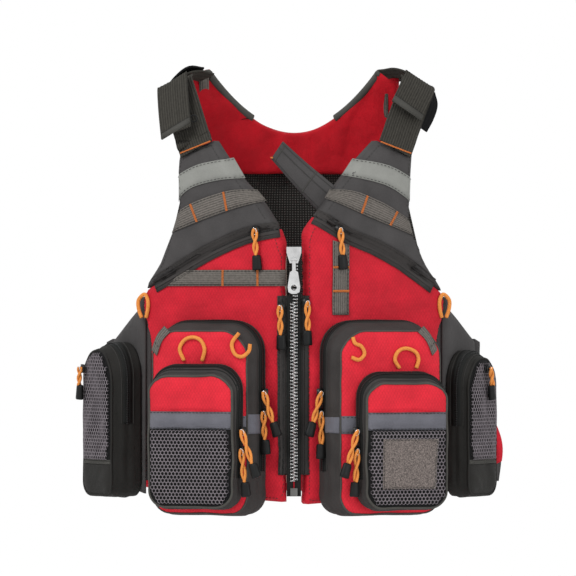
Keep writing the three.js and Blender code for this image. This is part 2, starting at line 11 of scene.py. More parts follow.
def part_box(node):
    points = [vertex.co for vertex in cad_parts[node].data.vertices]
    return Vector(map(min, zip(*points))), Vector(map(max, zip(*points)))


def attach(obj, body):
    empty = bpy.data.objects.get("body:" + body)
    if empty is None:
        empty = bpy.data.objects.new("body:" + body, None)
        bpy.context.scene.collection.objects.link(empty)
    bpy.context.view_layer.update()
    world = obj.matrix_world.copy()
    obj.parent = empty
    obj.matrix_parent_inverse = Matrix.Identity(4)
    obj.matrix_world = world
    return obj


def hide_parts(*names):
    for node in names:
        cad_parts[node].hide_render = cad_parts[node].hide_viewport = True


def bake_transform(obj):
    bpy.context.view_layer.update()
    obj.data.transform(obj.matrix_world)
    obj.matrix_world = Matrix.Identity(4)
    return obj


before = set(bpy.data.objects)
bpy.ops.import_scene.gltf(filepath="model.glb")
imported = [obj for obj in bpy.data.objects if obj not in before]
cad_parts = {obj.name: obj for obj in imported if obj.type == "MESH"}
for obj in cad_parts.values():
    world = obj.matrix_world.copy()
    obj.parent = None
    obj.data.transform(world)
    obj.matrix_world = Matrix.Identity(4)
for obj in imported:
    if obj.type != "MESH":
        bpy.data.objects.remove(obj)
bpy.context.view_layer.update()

MM = 0.001
UP = Vector((0, 0, 1))
SIDES = {"right": -1, "left": 1}


# ---- The two kinds of flat face, in the frame ----
class Face:
    """A flat face: s runs away from the zip, d outwards and z up."""

    def __init__(self, side, x, y, turn):
        self.side = side
        self.origin = Vector((side * x, y, 0))
        self.across = Vector((side * math.cos(turn), math.sin(turn), 0))
        self.out = Vector((side * math.sin(turn), -math.cos(turn), 0))

    def at(self, s, d, z):
        return self.origin + self.across * s + self.out * d + UP * z

    def local(self, point):
        offset = point / MM - self.origin
        return offset.dot(self.across), offset.dot(self.out), offset.z

    def seen(self, x, z, d=0.0):
        """The place s of a point whose distance to the zip is x, seen from the front."""
        return (x - self.side * self.origin.x - d * abs(self.out.x)) / abs(self.across.x), z


ZIP_HALF = 10
FRONT_Y = -125
FRONT_TURN = math.radians(24)
FRONT_THICK = 30
SIDE_X, SIDE_Y = 206, -34
SIDE_TURN = math.radians(63)
FRONT = {name: Face(side, ZIP_HALF, FRONT_Y, FRONT_TURN) for name, side in SIDES.items()}
SIDE = {name: Face(side, SIDE_X, SIDE_Y, SIDE_TURN) for name, side in SIDES.items()}


def spans(node, face):
    """Lowest and highest s, d and z of a CAD node on a face."""
    points = np.array([face.local(v.co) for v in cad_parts[node].data.vertices])
    return points.min(0), points.max(0)


def face_outline(node, face):
    """The outline of a CAD node's outermost flat side, as (s, z) pairs in order."""
    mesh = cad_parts[node].data
    local = [face.local(v.co) for v in mesh.vertices]
    outermost = max(p[1] for p in local)
    key = [(round(p[0], 1), round(p[2], 1)) for p in local]
    directed = set()
    for polygon in mesh.polygons:
        corners = list(polygon.vertices)
        if min(local[i][1] for i in corners) < outermost - 0.1:
            continue
        for a, b in zip(corners, corners[1:] + corners[:1]):
            directed.add((key[a], key[b]))
    following = {a: b for a, b in directed if (b, a) not in directed}
    loop = [min(following)]
    while following[loop[-1]] != loop[0]:
        loop.append(following[loop[-1]])
    return [Vector(p) for p in loop]


# ---- Outlines ----
def area(outline):
    return 0.5 * sum(a.x * b.y - b.x * a.y for a, b in zip(outline, outline[1:] + outline[:1]))


def anticlockwise(outline):
    return outline if area(outline) > 0 else outline[::-1]


def divided(outline, step):
    """A closed outline with no stretch longer than step."""
    points = []
    for a, b in zip(outline, outline[1:] + outline[:1]):
        count = max(1, math.ceil((b - a).length / step))
        points += [a.lerp(b, i / count) for i in range(count)]
    return points


def run_length(line):
    return sum((b - a).length for a, b in zip(line, line[1:]))


def even(outline, count, closed=True):
    """count points evenly along an outline."""
    line = outline + outline[:1] if closed else outline
    lengths = np.cumsum([0] + [(b - a).length for a, b in zip(line, line[1:])])
    places = np.linspace(0, lengths[-1], count, endpoint=not closed)
    columns = [np.interp(places, lengths, [p[i] for p in line]) for i in range(len(line[0]))]
    return [Vector(p) for p in zip(*columns)]


def distances(points, outline, closed=True):
    """How far each point is from a line."""
    p = np.array([list(q)[:2] for q in points])
    a = np.array([list(q)[:2] for q in outline])
    b = np.roll(a, -1, 0)
    if not closed:
        a, b = a[:-1], b[:-1]
    run = b - a
    squared = np.maximum((run**2).sum(1), 1e-9)
    best = np.full(len(p), 1e9)
    for start, along, length in zip(a, run, squared):
        t = np.clip(((p - start) @ along) / length, 0, 1)
        best = np.minimum(best, np.hypot(*(p - start - t[:, None] * along).T))
    return best


def inside(points, outline):
    p = np.array([list(q)[:2] for q in points])
    odd = np.zeros(len(p), bool)
    for a, b in zip(outline, outline[1:] + outline[:1]):
        if a.y == b.y:
            continue
        crosses = (a.y > p[:, 1]) != (b.y > p[:, 1])
        odd ^= crosses & (p[:, 0] < (b.x - a.x) * (p[:, 1] - a.y) / (b.y - a.y) + a.x)
    return odd


def smoothstep(x, low, high):
    t = min(max((x - low) / (high - low), 0), 1)
    return t * t * (3 - 2 * t)


def rounded_below(outline, level, radius):
    """An outline whose sharp corners below a level are rounded."""
    points = []
    for i, corner in enumerate(outline):
        before, after = outline[i - 1] - corner, outline[(i + 1) % len(outline)] - corner
        if corner.y > level or before.angle(after) > math.radians(125):
            points.append(corner)
            continue
        reach = min(radius, 0.45 * before.length, 0.45 * after.length)
        start, end = corner + before.normalized() * reach, corner + after.normalized() * reach
        points += [start.lerp(corner, t).lerp(corner.lerp(end, t), t) for t in (0, 0.25, 0.5, 0.75, 1)]
    return points


def inset(outline, distance):
    """An anticlockwise outline moved inwards; distance is a number or a function of the outward normal."""
    moved = []
    for i, point in enumerate(outline):
        before = (point - outline[i - 1]).normalized()
        after = (outline[(i + 1) % len(outline)] - point).normalized()
        run = (before + after).normalized()
        outward = Vector((run.y, -run.x))
        step = distance(outward) if callable(distance) else distance
        moved.append(point - outward * step)
    return moved


def filled(outline, cell, cuts=()):
    """Points and triangles that fill an outline, with edges along each level cut. The rim comes first."""
    rim = divided(anticlockwise(outline), cell)
    low = Vector((min(p.x for p in rim), min(p.y for p in rim)))
    high = Vector((max(p.x for p in rim), max(p.y for p in rim)))
    rows = int((high.y - low.y) / (cell * 0.866))
    lattice = [Vector((low.x + (column + 0.5 * (row % 2)) * cell, low.y + row * cell * 0.866))
               for row in range(rows + 1) for column in range(int((high.x - low.x) / cell) + 1)]
    free = inside(lattice, rim) & (distances(lattice, rim) > 0.55 * cell)
    for level in cuts:
        free &= np.array([abs(p.y - level) > 0.45 * cell for p in lattice])
    points = rim + [p for p, keep in zip(lattice, free) if keep]
    edges = []
    for level in cuts:
        edges.append((len(points), len(points) + 1))
        points += [Vector((low.x - 1, level)), Vector((high.x + 1, level))]
    result = delaunay_2d_cdt(points, edges, [list(range(len(rim)))], 1, 1e-4)
    return [Vector(p[:2]) for p in result[0]], [tuple(f) for f in result[2]]


# ---- Meshes ----
def build(name, points, faces, material, uvs=None, materials=(), indices=None, outward=True):
    """A smooth object from points in millimetres."""
    mesh = bpy.data.meshes.new(name)
    mesh.from_pydata([Vector(p) * MM for p in points], [], faces)
    if uvs:
        layer = mesh.uv_layers.new(name="UVMap")
        for loop in mesh.loops:
            layer.data[loop.index].uv = Vector(uvs[loop.vertex_index]) * MM
    for each in (material, *materials):
        mesh.materials.append(each)
    if indices:
        mesh.polygons.foreach_set("material_index", indices)
    shape = bmesh.new()
    shape.from_mesh(mesh)
    bmesh.ops.remove_doubles(shape, verts=shape.verts, dist=2e-5)
    bmesh.ops.dissolve_degenerate(shape, edges=shape.edges, dist=1e-6)
    if outward:
        bmesh.ops.recalc_face_normals(shape, faces=shape.faces)
    shape.to_mesh(mesh)
    shape.free()
    mesh.shade_smooth()
    obj = bpy.data.objects.new(name, mesh)
    bpy.context.scene.collection.objects.link(obj)
    return obj


def wear(obj, body, slot, *nodes):
    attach(obj, body)
    if nodes:
        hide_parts(*nodes)
    return obj


def two_skins(outer, inner, triangles):
    """Closes two matching skins along their free edges."""
    count = len(outer)
    directed = {(f[i], f[(i + 1) % len(f)]) for f in triangles for i in range(len(f))}
    faces = list(triangles)
    faces += [tuple(count + i for i in reversed(f)) for f in triangles]
    faces += [(b, a, count + a, count + b) for a, b in sorted(directed) if (b, a) not in directed]
    return list(outer) + list(inner), faces


def grid(columns, rows, place):
    """Points and quads of place(u, v), with u and v from 0 to 1."""
    points = [place(i / columns, j / rows) for j in range(rows + 1) for i in range(columns + 1)]
    wide = columns + 1
    quads = [(j * wide + i, j * wide + i + 1, (j + 1) * wide + i + 1, (j + 1) * wide + i)
             for j in range(rows) for i in range(columns)]
    return points, quads


def tube_faces(size, count, closed=False):
    """The faces of a tube of count rings with size points each. An open one has capped ends."""
    links = count if closed else count - 1
    faces = [(i * size + j, i * size + (j + 1) % size, (i + 1) % count * size + (j + 1) % size,
              (i + 1) % count * size + j) for i in range(links) for j in range(size)]
    if not closed:
        faces += [tuple(range(size)), tuple(range((count - 1) * size, count * size))]
    return faces


def sweep(path, section, closed=False, across=None):
    """A section of (sideways, outwards) points moved along a path. Across holds its sideways direction."""
    count = len(path)
    rings = []
    side = across
    for i, point in enumerate(path):
        ahead = path[(i + 1) % count] if closed or i < count - 1 else point
        behind = path[i - 1] if closed or i > 0 else point
        run = (ahead - behind).normalized()
        if side is None:
            side = run.orthogonal()
        sideways = (side - run * side.dot(run)).normalized()
        if across is None:
            side = sideways
        normal = run.cross(sideways)
        rings.append([point + sideways * a + normal * b for a, b in section])
    return [p for ring in rings for p in ring], tube_faces(len(section), count, closed)


def circle(radius, sides=8):
    return [(radius * math.cos(2 * math.pi * i / sides), radius * math.sin(2 * math.pi * i / sides))
            for i in range(sides)]


def rope(name, line, radius, material, body, slot):
    """A thin cord or seam along a line."""
    wear(build(name, *sweep(line, circle(radius, 6)), material), body, slot)


def spline(points, count):
    """A smooth line through points."""
    points = [Vector(p) for p in points]
    ends = [points[0] * 2 - points[1], *points, points[-1] * 2 - points[-2]]
    line = []
    for i in range(count):
        place = i / (count - 1) * (len(points) - 1)
        k = min(int(place), len(points) - 2)
        t = place - k
        a, b, c, d = ends[k:k + 4]
        line.append(0.5 * (2 * b + (c - a) * t + (2 * a - 5 * b + 4 * c - d) * t**2
                           + (3 * b - a - 3 * c + d) * t**3))
    return line


def merged(parts):
    """Several (points, faces) as one."""
    points, faces = [], []
    for some, these in parts:
        faces += [tuple(len(points) + i for i in f) for f in these]
        points += list(some)
    return points, faces


def block(centre, size, axes=(Vector((1, 0, 0)), Vector((0, 1, 0)), UP), round_by=0.25):
    """A block with cut edges, about a centre along three axes."""
    shape = bmesh.new()
    bmesh.ops.create_cube(shape, size=1)
    for v in shape.verts:
        v.co = Vector(tuple(c * s for c, s in zip(v.co, size)))
    bmesh.ops.bevel(shape, geom=list(shape.edges), offset=round_by * min(size), segments=2, affect="EDGES")
    shape.verts.index_update()
    points = [centre + axes[0] * v.co.x + axes[1] * v.co.y + axes[2] * v.co.z for v in shape.verts]
    faces = [tuple(v.index for v in f.verts) for f in shape.faces]
    shape.free()
    return points, faces


def folds(x, y, size, seed):
    """Soft seeded unevenness from about -1 to 1."""
    return noise.noise(Vector((x / size, y / size, seed)))


def swell(obj, pressure, cap):
    """Lets cloth swell under pressure, no point moving further than cap."""
    start = np.array([v.co for v in obj.data.vertices])
    cloth = obj.modifiers.new("Cloth", "CLOTH")
    cloth.settings.use_pressure = True
    cloth.settings.uniform_pressure_force = pressure
    cloth.settings.effector_weights.gravity = 0
    cloth.settings.tension_stiffness = 25
    cloth.settings.compression_stiffness = 25
    cloth.settings.bending_stiffness = 1.5
    for step in range(1, 19):
        bpy.context.scene.frame_set(step)
    final = obj.evaluated_get(bpy.context.evaluated_depsgraph_get())
    move = np.array([v.co for v in final.data.vertices]) - start
    length = np.maximum(np.linalg.norm(move, axis=1), 1e-9)
    move *= np.minimum(1, cap * MM / length)[:, None]
    obj.modifiers.remove(cloth)
    obj.data.vertices.foreach_set("co", (start + move).ravel())
    obj.data.update()
    bpy.context.scene.frame_set(1)


# ---- Materials ----
class Nodes:
    """A short way to write a node material. Waves run on the UV map, in metres, and noise on the object."""

    def __init__(self, name, roughness, metallic=0.0, sheen=0.0, gloss=0.5):
        self.material = bpy.data.materials.new(name)
        self.material.use_nodes = True
        self.tree = self.material.node_tree
        self.shader = self.tree.nodes["Principled BSDF"]
        self.shader.inputs["Metallic"].default_value = metallic
        self.shader.inputs["Roughness"].default_value = roughness
        self.shader.inputs["Sheen Weight"].default_value = sheen
        self.shader.inputs["Specular IOR Level"].default_value = gloss
        self.coordinates = self.tree.nodes.new("ShaderNodeTexCoord")

    def node(self, kind, settings=None, **inputs):
        made = self.tree.nodes.new(kind)
        for key, value in (settings or {}).items():
            setattr(made, key, value)
        for key, value in inputs.items():
            self.feed(made.inputs[int(key[1:]) if key[0] == "_" and key[1:].isdigit() else key], value)
        return made

    def feed(self, socket, value):
        if isinstance(value, bpy.types.NodeSocket):
            self.tree.links.new(value, socket)
        else:
            socket.default_value = value

    def maths(self, operation, a, b=0.0):
        return self.node("ShaderNodeMath", {"operation": operation}, _0=a, _1=b).outputs[0]

    def add(self, a, b):
        return self.maths("ADD", a, b)

    def times(self, a, b):
        return self.maths("MULTIPLY", a, b)

    def axis(self, index, source="UV"):
        split = self.node("ShaderNodeSeparateXYZ", _0=self.coordinates.outputs[source])
        return split.outputs[index]

    def wave(self, value, pitch):
        """From 0 to 1 and back once a pitch, in millimetres."""
        turned = self.maths("SINE", self.times(value, 2 * math.pi / (pitch * MM)))
        return self.maths("MULTIPLY_ADD", turned, 0.5)

    def noise(self, size, detail=3.0):
        made = self.node("ShaderNodeTexNoise", Vector=self.coordinates.outputs["Object"],
                         Scale=1 / (size * MM), Detail=detail)
        return made.outputs["Fac"]

    def ramp(self, factor, stops):
        made = self.node("ShaderNodeValToRGB", Fac=factor)
        ramp = made.color_ramp
        while len(ramp.elements) < len(stops):
            ramp.elements.new(0.5)
        for element, (place, colour) in zip(ramp.elements, stops):
            element.position = place
            element.color = (*colour, 1)
        return made.outputs["Color"]

    def finish(self, colour, bump, depth, rough=None):
        self.feed(self.shader.inputs["Base Color"], colour)
        raised = self.node("ShaderNodeBump", Height=bump, Distance=depth * MM, Strength=1.0)
        self.feed(self.shader.inputs["Normal"], raised.outputs[0])
        if rough is not None:
            self.feed(self.shader.inputs["Roughness"], rough)
        return self.material


STUDIO = 0.74  # share of a surface's seen brightness that its own colour gives under these lights


def linear(*rgb):
    """A colour of 0 to 255 as the eye sees it, as the shader needs it."""
    return tuple((c / 255 / 12.92) if c / 255 < 0.04045 else ((c / 255 + 0.055) / 1.055) ** 2.4 for c in rgb)


def shades(rgb, dark, light):
    base = [c * STUDIO for c in linear(*rgb)]
    return tuple(c * dark for c in base), tuple(min(1, c * light) for c in base)


CLOTH_GLOSS = 0.15


def woven(name, rgb, pitch, depth=0.15, roughness=0.75, diamond=0.0, dark=0.82, light=1.14, crease=2.4):
    """Plain woven cloth with soft creases, and an optional diamond pattern of raised threads."""
    n = Nodes(name, roughness, gloss=CLOTH_GLOSS)
    u, v = n.axis(0), n.axis(1)
    weave = n.times(n.wave(u, pitch), n.wave(v, pitch))
    height = weave
    mottle = n.times(n.noise(30, 4), 0.75)
    tone = n.add(mottle, n.times(n.noise(1.8, 2), 0.35))
    if diamond:
        rising = n.wave(n.add(u, n.times(v, 0.6)), diamond)
        falling = n.wave(n.maths("SUBTRACT", u, n.times(v, 0.6)), diamond)
        lines = n.maths("POWER", n.maths("MAXIMUM", rising, falling), 6.0)
        height = n.add(n.times(weave, 0.5), lines)
        tone = n.add(tone, n.times(lines, -0.16))
    creases = n.add(n.noise(34, 2), n.times(n.noise(11, 2), 0.3))
    height = n.add(height, n.times(creases, crease / depth))
    low, high = shades(rgb, dark, light)
    colour = n.ramp(tone, [(0.35, low), (0.72, high)])
    rough = n.add(n.times(n.noise(15), 0.15), roughness - 0.08)
    return n.finish(colour, height, depth, rough)


def webbing_look(name, rgb, rib=3.2):
    """Woven webbing: ribs along v and fine picks across, with painted shade in the grooves between the ribs.
    """
    n = Nodes(name, 0.8, gloss=CLOTH_GLOSS)
    ribs = n.wave(n.axis(0), rib)
    picks = n.wave(n.axis(1), 1.3)
    height = n.add(ribs, n.times(picks, 0.3))
    # The ribs' wave also darkens the grooves' colour: painted shade, with random tone from the noise.
    tone = n.add(n.times(ribs, 0.4), n.times(n.noise(3, 4), 0.7))
    low, high = shades(rgb, 0.5, 1.45)
    return n.finish(n.ramp(tone, [(0.2, low), (0.85, high)]), height, 0.45)


def cord_look(name, rgb):
    """Braided cord: two sets of strands that cross, with painted shade in the hollows between the strands."""
    n = Nodes(name, 0.65, gloss=CLOTH_GLOSS)
    object_x, object_z = n.axis(0, "Object"), n.axis(2, "Object")
    one = n.wave(n.add(object_x, object_z), 1.5)
    two = n.wave(n.maths("SUBTRACT", object_x, object_z), 1.5)
    braid = n.maths("MAXIMUM", one, two)
    # Colour follows the braid's height, so the hollows between strands are painted shade; the noise gives
    # random tone.
    tone = n.add(n.times(braid, 0.6), n.times(n.noise(9), 0.3))
    low, high = shades(rgb, 0.6, 1.15)
    return n.finish(n.ramp(tone, [(0.1, low), (0.8, high)]), braid, 0.35)


def moulded(name, rgb, roughness, metallic=0.0, grain=1.2, depth=0.04, gloss=0.4):
    """Moulded plastic or cast metal with fine grain and uneven gloss."""
    n = Nodes(name, roughness, metallic, gloss=gloss)
    low, high = shades(rgb, 0.8, 1.12)
    colour = n.ramp(n.noise(14, 4), [(0.3, low), (0.7, high)])
    rough = n.add(n.times(n.noise(6, 5), 0.22), roughness - 0.1)
    return n.finish(colour, n.noise(grain, 2), depth, rough)


def pile(name, rgb):
    """Loop pile of a hook-and-loop patch, with painted shade in the low places between the loops."""
    n = Nodes(name, 0.95, sheen=0.2, gloss=CLOTH_GLOSS)
    low, high = shades(rgb, 0.35, 1.7)
    # One noise gives the loops both their height and their colour, so the low places between loops are
    # painted shade.
    loops = n.noise(1.7, 4)
    return n.finish(n.ramp(loops, [(0.3, low), (0.7, high)]), loops, 0.9)


def dotted(name, rgb, pitch):
    """Fine mesh cloth: rows of round holes."""
    n = Nodes(name, 0.8, gloss=CLOTH_GLOSS)
    holes = n.times(n.wave(n.axis(0), pitch), n.wave(n.axis(1), pitch))
    low, high = shades(rgb, 0.25, 1.9)
    tone = n.add(holes, n.times(n.noise(25), 0.2))
    return n.finish(n.ramp(tone, [(0.25, low), (0.85, high)]), holes, 0.8)


RED = woven("red_ripstop", (223, 42, 58), 1.1, diamond=4.6, crease=4)
CHEST_RED = woven("chest_red", (207, 34, 51), 1.1, diamond=4.6, crease=4)
YOKE_RED = woven("yoke_red", (188, 16, 32), 1.0, crease=4)
DARK = woven("dark_fabric", (73, 71, 71), 1.4, depth=0.2)
GUSSET = woven("gusset_fabric", (62, 59, 58), 1.5, depth=0.2)
# The gusset cloth darkened further with painted shade, for the side pockets' gusset, foot and piping, which
# stand in shade.
SHADED_SIDE_CLOTH = woven("side_cloth_painted_shade", (40, 39, 37), 1.5, depth=0.2)
BINDING = woven("binding_tape", (76, 75, 71), 1.6, depth=0.25)
STRIPE = woven("stripe_fabric", (106, 106, 114), 1.3)
LINING = woven("lining", (14, 14, 15), 1.2)
WEBBING = webbing_look("webbing", (106, 101, 96))
STRAP = webbing_look("strap_webbing", (58, 56, 51), rib=3.6)
REFLECTIVE = woven("reflective_tape", (145, 146, 141), 0.8, roughness=0.42, dark=0.9, light=1.08)
ORANGE = cord_look("orange_cord", (246, 156, 76))
TACK = cord_look("bar_tack", (224, 128, 66))
BLACK = moulded("black_moulding", (18, 19, 19), 0.5, gloss=0.2)
METAL = moulded("bright_steel", (236, 236, 236), 0.24, metallic=1.0)
DULL_METAL = moulded("dull_steel", (120, 120, 118), 0.4, metallic=0.9)
SLIDER = moulded("slider_metal", (44, 44, 44), 0.35, metallic=0.7)
ZIP = woven("zip_tape", (28, 29, 28), 0.9, roughness=0.7)
COIL = moulded("zip_coil", (24, 25, 25), 0.45)
NET = moulded("pocket_mesh", (128, 121, 126), 0.75, grain=0.8, depth=0.1, gloss=CLOTH_GLOSS)
BACK_MESH = dotted("back_mesh", (70, 69, 66), 3.4)
PATCH = pile("hook_and_loop", (112, 103, 99))
FOAM = moulded("foam", (216, 212, 196), 0.9, grain=1.5, depth=0.3)
THREAD = moulded("thread", (52, 51, 49), 0.8, grain=0.6)


# ---- Camera ----
CAMERA_PLACE = (-0.008, -9.0, 0.3065)  # in metres
SEEN_WIDTH = 0.778  # how many metres across the picture shows at the zip


def set_camera():
    """Straight on from the front, from far off."""
    data = bpy.data.cameras.new("camera")
    camera = bpy.data.objects.new("camera", data)
    bpy.context.scene.collection.objects.link(camera)
    camera.location = CAMERA_PLACE
    camera.rotation_euler = (math.radians(90), 0, 0)
    data.sensor_width = 36
    data.lens = data.sensor_width * (-camera.location.y + FRONT_Y * MM) / SEEN_WIDTH
    bpy.context.scene.camera = camera


set_camera()


# ---- Sewn cords ----
CORD_RADIUS = 2.6
CORD_ROUTES = {
    "right": {
        "arch": [(145, 205), (151, 224), (145, 236), (134, 240), (123, 236), (117, 224), (121, 205)],
        "hook": [(73, 246), (81, 232), (77, 218), (68, 214), (60, 221), (58, 231)],
    },
    "left": {
        "arch": [(139, 196), (133, 210), (138, 221), (149, 225), (161, 220), (165, 210), (162, 196)],
        "hook": [(78, 240), (80, 232), (88, 228), (92, 218), (85, 210), (75, 213)],
    },
}
ARMHOLE_ROUTE = [(192, 266), (187, 278), (187, 290), (193, 298), (200, 290), (200, 278), (198, 266)]


def sewn_cords(front, pocket):
    """Short orange cords, sewn down at both ends."""
    name, face = front.name, front.face
    small_top = spans(f"small_pocket_{name}", face)[1][2]
    routes = {f"pocket_cord_{kind}_{name}": (route, pocket.depth, pocket.top, small_top + 2 * CORD_RADIUS)
              for kind, route in CORD_ROUTES[name].items()}
    routes[f"armhole_cord_{name}"] = (ARMHOLE_ROUTE, front.depth, 0, 0)
    for node, (route, depth, base, lowest) in routes.items():
        places = [face.seen(x, max(z, lowest), base) for x, z in route]
        places = [(s + front.flare((s, z)), z) for s, z in places]
        points = [face.at(s, max(depth(s, z), base) + CORD_RADIUS, z) for s, z in places]
        cord = build(node + "_cord", *sweep(spline(points, 40), circle(CORD_RADIUS, 10)), ORANGE)
        wear(cord, f"front_{name}", "orange_cord", node)


# ---- Padded fronts ----
def round_edge(distance, radius):
    """From 0 at an edge to 1 at a radius from it, as a quarter circle."""
    t = np.clip(1 - distance / radius, 0, 1)
    return np.sqrt(1 - t * t)


class Front:
    """One front's padded shape, from the outlines of its two covers."""

    EDGE = 10  # how far the padding takes to reach its full height
    RIM_DROP = 0.22 * FRONT_THICK  # how far the skins close in at the edge
    GROOVE = 2.6  # how deep the seam under the chest zip is drawn in
    FOLD = 2.6
    SEAM_GAP = 3
    FLARE = 12  # how far the cloth is drawn out at the armhole's lower end
    FLARE_Z = 285
    FLARE_HALF = 60

    def __init__(self, name):
        self.name, self.face = name, FRONT[name]
        self.upper = self.flared(face_outline(f"upper_front_cover_{name}", self.face))
        self.lower = self.flared(rounded_below(face_outline(f"lower_front_cover_{name}", self.face), 60, 14))
        near_upper = distances(self.lower, self.upper) < self.SEAM_GAP
        near_lower = distances(self.upper, self.lower) < self.SEAM_GAP
        self.seam = sorted((p for p, near in zip(self.upper, near_lower) if near), key=lambda p: p.x)
        self.rim = []
        for loop, near in ((self.upper, near_lower), (self.lower, near_upper)):
            for i, point in enumerate(loop):
                if not (near[i] and near[i - 1]):
                    self.rim.append((loop[i - 1], point))

    def flare(self, p):
        level = min(1, abs(p[1] - self.FLARE_Z) / self.FLARE_HALF)
        return self.FLARE * math.cos(level * math.pi / 2) ** 2 * smoothstep(p[0], 120, 195)

    def flared(self, outline):
        points = divided(anticlockwise(outline), 12)
        for p in points:
            p.x += self.flare(p)
        return points

    def to_rim(self, points):
        return np.min([distances(points, list(edge), closed=False) for edge in self.rim], axis=0)

    def heights(self, points):
        """How far the outer skin stands from the face, at (s, z) points."""
        edge = round_edge(self.to_rim(points), self.EDGE)
        seam = np.exp(-(distances(points, self.seam, closed=False) / 4) ** 2)
        seed = self.face.side * 7
        soft = np.array([folds(p[0], p[1] * 0.6, 50, seed)
                         + 0.5 * folds(p[0] + 0.4 * p[1], p[1] * 0.3, 15, seed + 3) for p in points])
        return (edge - 1) * self.RIM_DROP + edge * self.FOLD * soft - self.GROOVE * seam

    def cover(self, part, outline, material):
        points, triangles = filled(outline, 5.5)
        outer = self.heights(points)
        back = -FRONT_THICK + (1 - round_edge(self.to_rim(points), self.EDGE)) * self.RIM_DROP
        skins = [[self.place(p, d) for p, d in zip(points, depths)] for depths in (outer, back)]
        verts, faces = two_skins(*skins, triangles)
        node = f"{part}_front_cover_{self.name}"
        obj = build(node + "_cloth", verts, faces, material, uvs=[(p[0], p[1]) for p in points] * 2)
        swell(obj, 1.5, 3)
        hold_back_from_zip(obj)
        wear(obj, f"front_{self.name}", "dark_fabric" if part == "upper" else "red_fabric", node)
        return obj

    def place(self, p, d):
        """A point of the padding. Only the outer skin is drawn out at the armhole."""
        point = self.face.at(p[0] - self.flare(p) * min(1, max(0, -d) / FRONT_THICK), d, p[1])
        if abs(point.x) < ZIP_HALF:
            point.x = self.face.side * ZIP_HALF
        return point

    def build(self):
        covers = [self.cover("upper", self.upper, DARK), self.cover("lower", self.lower, CHEST_RED)]
        self.skins = [skin_of(cover) for cover in covers]
        self.edge_stitches()
        core = inset(divided(self.lower, 12), 8)
        points, triangles = filled(core, 14)
        skins = [[self.place(p, d) for p in points] for d in (-6, -FRONT_THICK + 6)]
        foam = build(f"front_foam_{self.name}_core", *two_skins(*skins, triangles), FOAM)
        wear(foam, f"front_{self.name}", "foam", f"front_foam_{self.name}")

    def edge_stitches(self):
        """A row of stitches inside the free edges of both covers."""
        for part, outline in (("upper", self.upper), ("lower", self.lower)):
            line = divided(inset(outline, 6), 8)
            kept = [d > 12 for d in distances(line, self.seam, closed=False)]
            runs = [[]]
            for p, keep in zip(line, kept):
                if keep:
                    runs[-1].append(p)
                elif runs[-1]:
                    runs.append([])
            for i, run in enumerate(run for run in runs if len(run) > 3):
                row = stitches(f"{part}_edge_stitches_{self.name}_{i}", run, self.face, self.depth, 0.2)
                wear(row, f"front_{self.name}", "dark_fabric" if part == "upper" else "red_fabric")

    def depth(self, s, z):
        return surface_depth(self.skins, self.face, s, z, -self.RIM_DROP)


def hold_back_from_zip(obj):
    """Keeps swollen cloth out of the zip's opening."""
    for v in obj.data.vertices:
        if abs(v.co.x) < ZIP_HALF * MM:
            v.co.x = math.copysign(ZIP_HALF * MM, v.co.x)


def skin_of(obj):
    return BVHTree.FromPolygons([v.co.copy() for v in obj.data.vertices],
                                [tuple(p.vertices) for p in obj.data.polygons])


def surface_depth(skins, face, s, z, fallback):
    """How far the outermost skin stands at a place on a face."""
    start = face.at(s, 160, z) * MM
    hits = [skin.ray_cast(start, -face.out)[0] for skin in skins]
    found = [face.local(hit)[1] for hit in hits if hit is not None]
    return max(found) if found else fallback


# ---- Strips that lie on a surface ----
def long_sides(outline):
    """The two long sides of a strip's outline, both running the same way."""
    count = len(outline)
    bend = []
    for i, point in enumerate(outline):
        before, after = point - outline[i - 1], outline[(i + 1) % count] - point
        bend.append(before.angle(after, 0))
    corners = sorted(sorted(range(count), key=lambda i: -bend[i])[:4])
    stretches = []
    for a, b in zip(corners, corners[1:] + corners[:1]):
        stretches.append([outline[i % count] for i in range(a, (b if b > a else b + count) + 1)])
    stretches.sort(key=run_length, reverse=True)
    return stretches[0], stretches[1][::-1]


def laid_strip(name, sides, depth, face, lift, thick, material, rows=3, step=5):
    """A strip between two lines, laid on the surface that depth(s, z) gives."""
    length = run_length(sides[0])
    columns = max(6, int(length / step))
    one, other = (even(side, columns + 1, closed=False) for side in sides)
    width = (one[columns // 2] - other[columns // 2]).length

    def flat(u, v):
        i = round(u * columns)
        return one[i].lerp(other[i], v)

    spots, quads = grid(columns, rows, flat)
    depths = [depth(p.x, p.y) + lift for p in spots]
    outer = [face.at(p.x, d, p.y) for p, d in zip(spots, depths)]
    inner = [face.at(p.x, d - thick, p.y) for p, d in zip(spots, depths)]
    points, faces = two_skins(outer, inner, quads)
    uvs = [(j / rows * width, i / columns * length) for j in range(rows + 1) for i in range(columns + 1)] * 2
    return build(name, points, faces, material, uvs=uvs)


def stitches(name, line, face, depth, lift, material=THREAD, pitch=5.0, size=(3.2, 0.7, 0.7)):
    """Single stitches along a line of (s, z) points."""
    spots = even(line, max(3, int(run_length(line) / pitch)), closed=False)
    parts = []
    for a, b in zip(spots, spots[1:]):
        run = (b - a).normalized()
        middle = a.lerp(b, 0.5)
        along = face.across * run.x + UP * run.y
        centre = face.at(middle.x, depth(middle.x, middle.y) + lift, middle.y)
        parts.append(block(centre, size, (along, face.out, along.cross(face.out))))
    return build(name, *merged(parts), material)


def bar_tack(name, a, b, face, depth, lift):
    """A dense orange bar tack between two (s, z) points."""
    return stitches(name, [Vector(a), Vector(b)], face, depth, lift, TACK, 1.5, (1.3, 1.0, 3.4))


def across_strip(sides, share):
    """The two ends of a line straight across a strip, at a share of its length."""
    one, other = (even(side, 101, closed=False) for side in sides)
    start = one[round(share * 100)]
    return start, min(other, key=lambda p: (p - start).length)


def shifted(line, other, share):
    """A line between the two long sides."""
    count = 40
    return [a.lerp(b, share) for a, b in zip(even(line, count, False), even(other, count, False))]


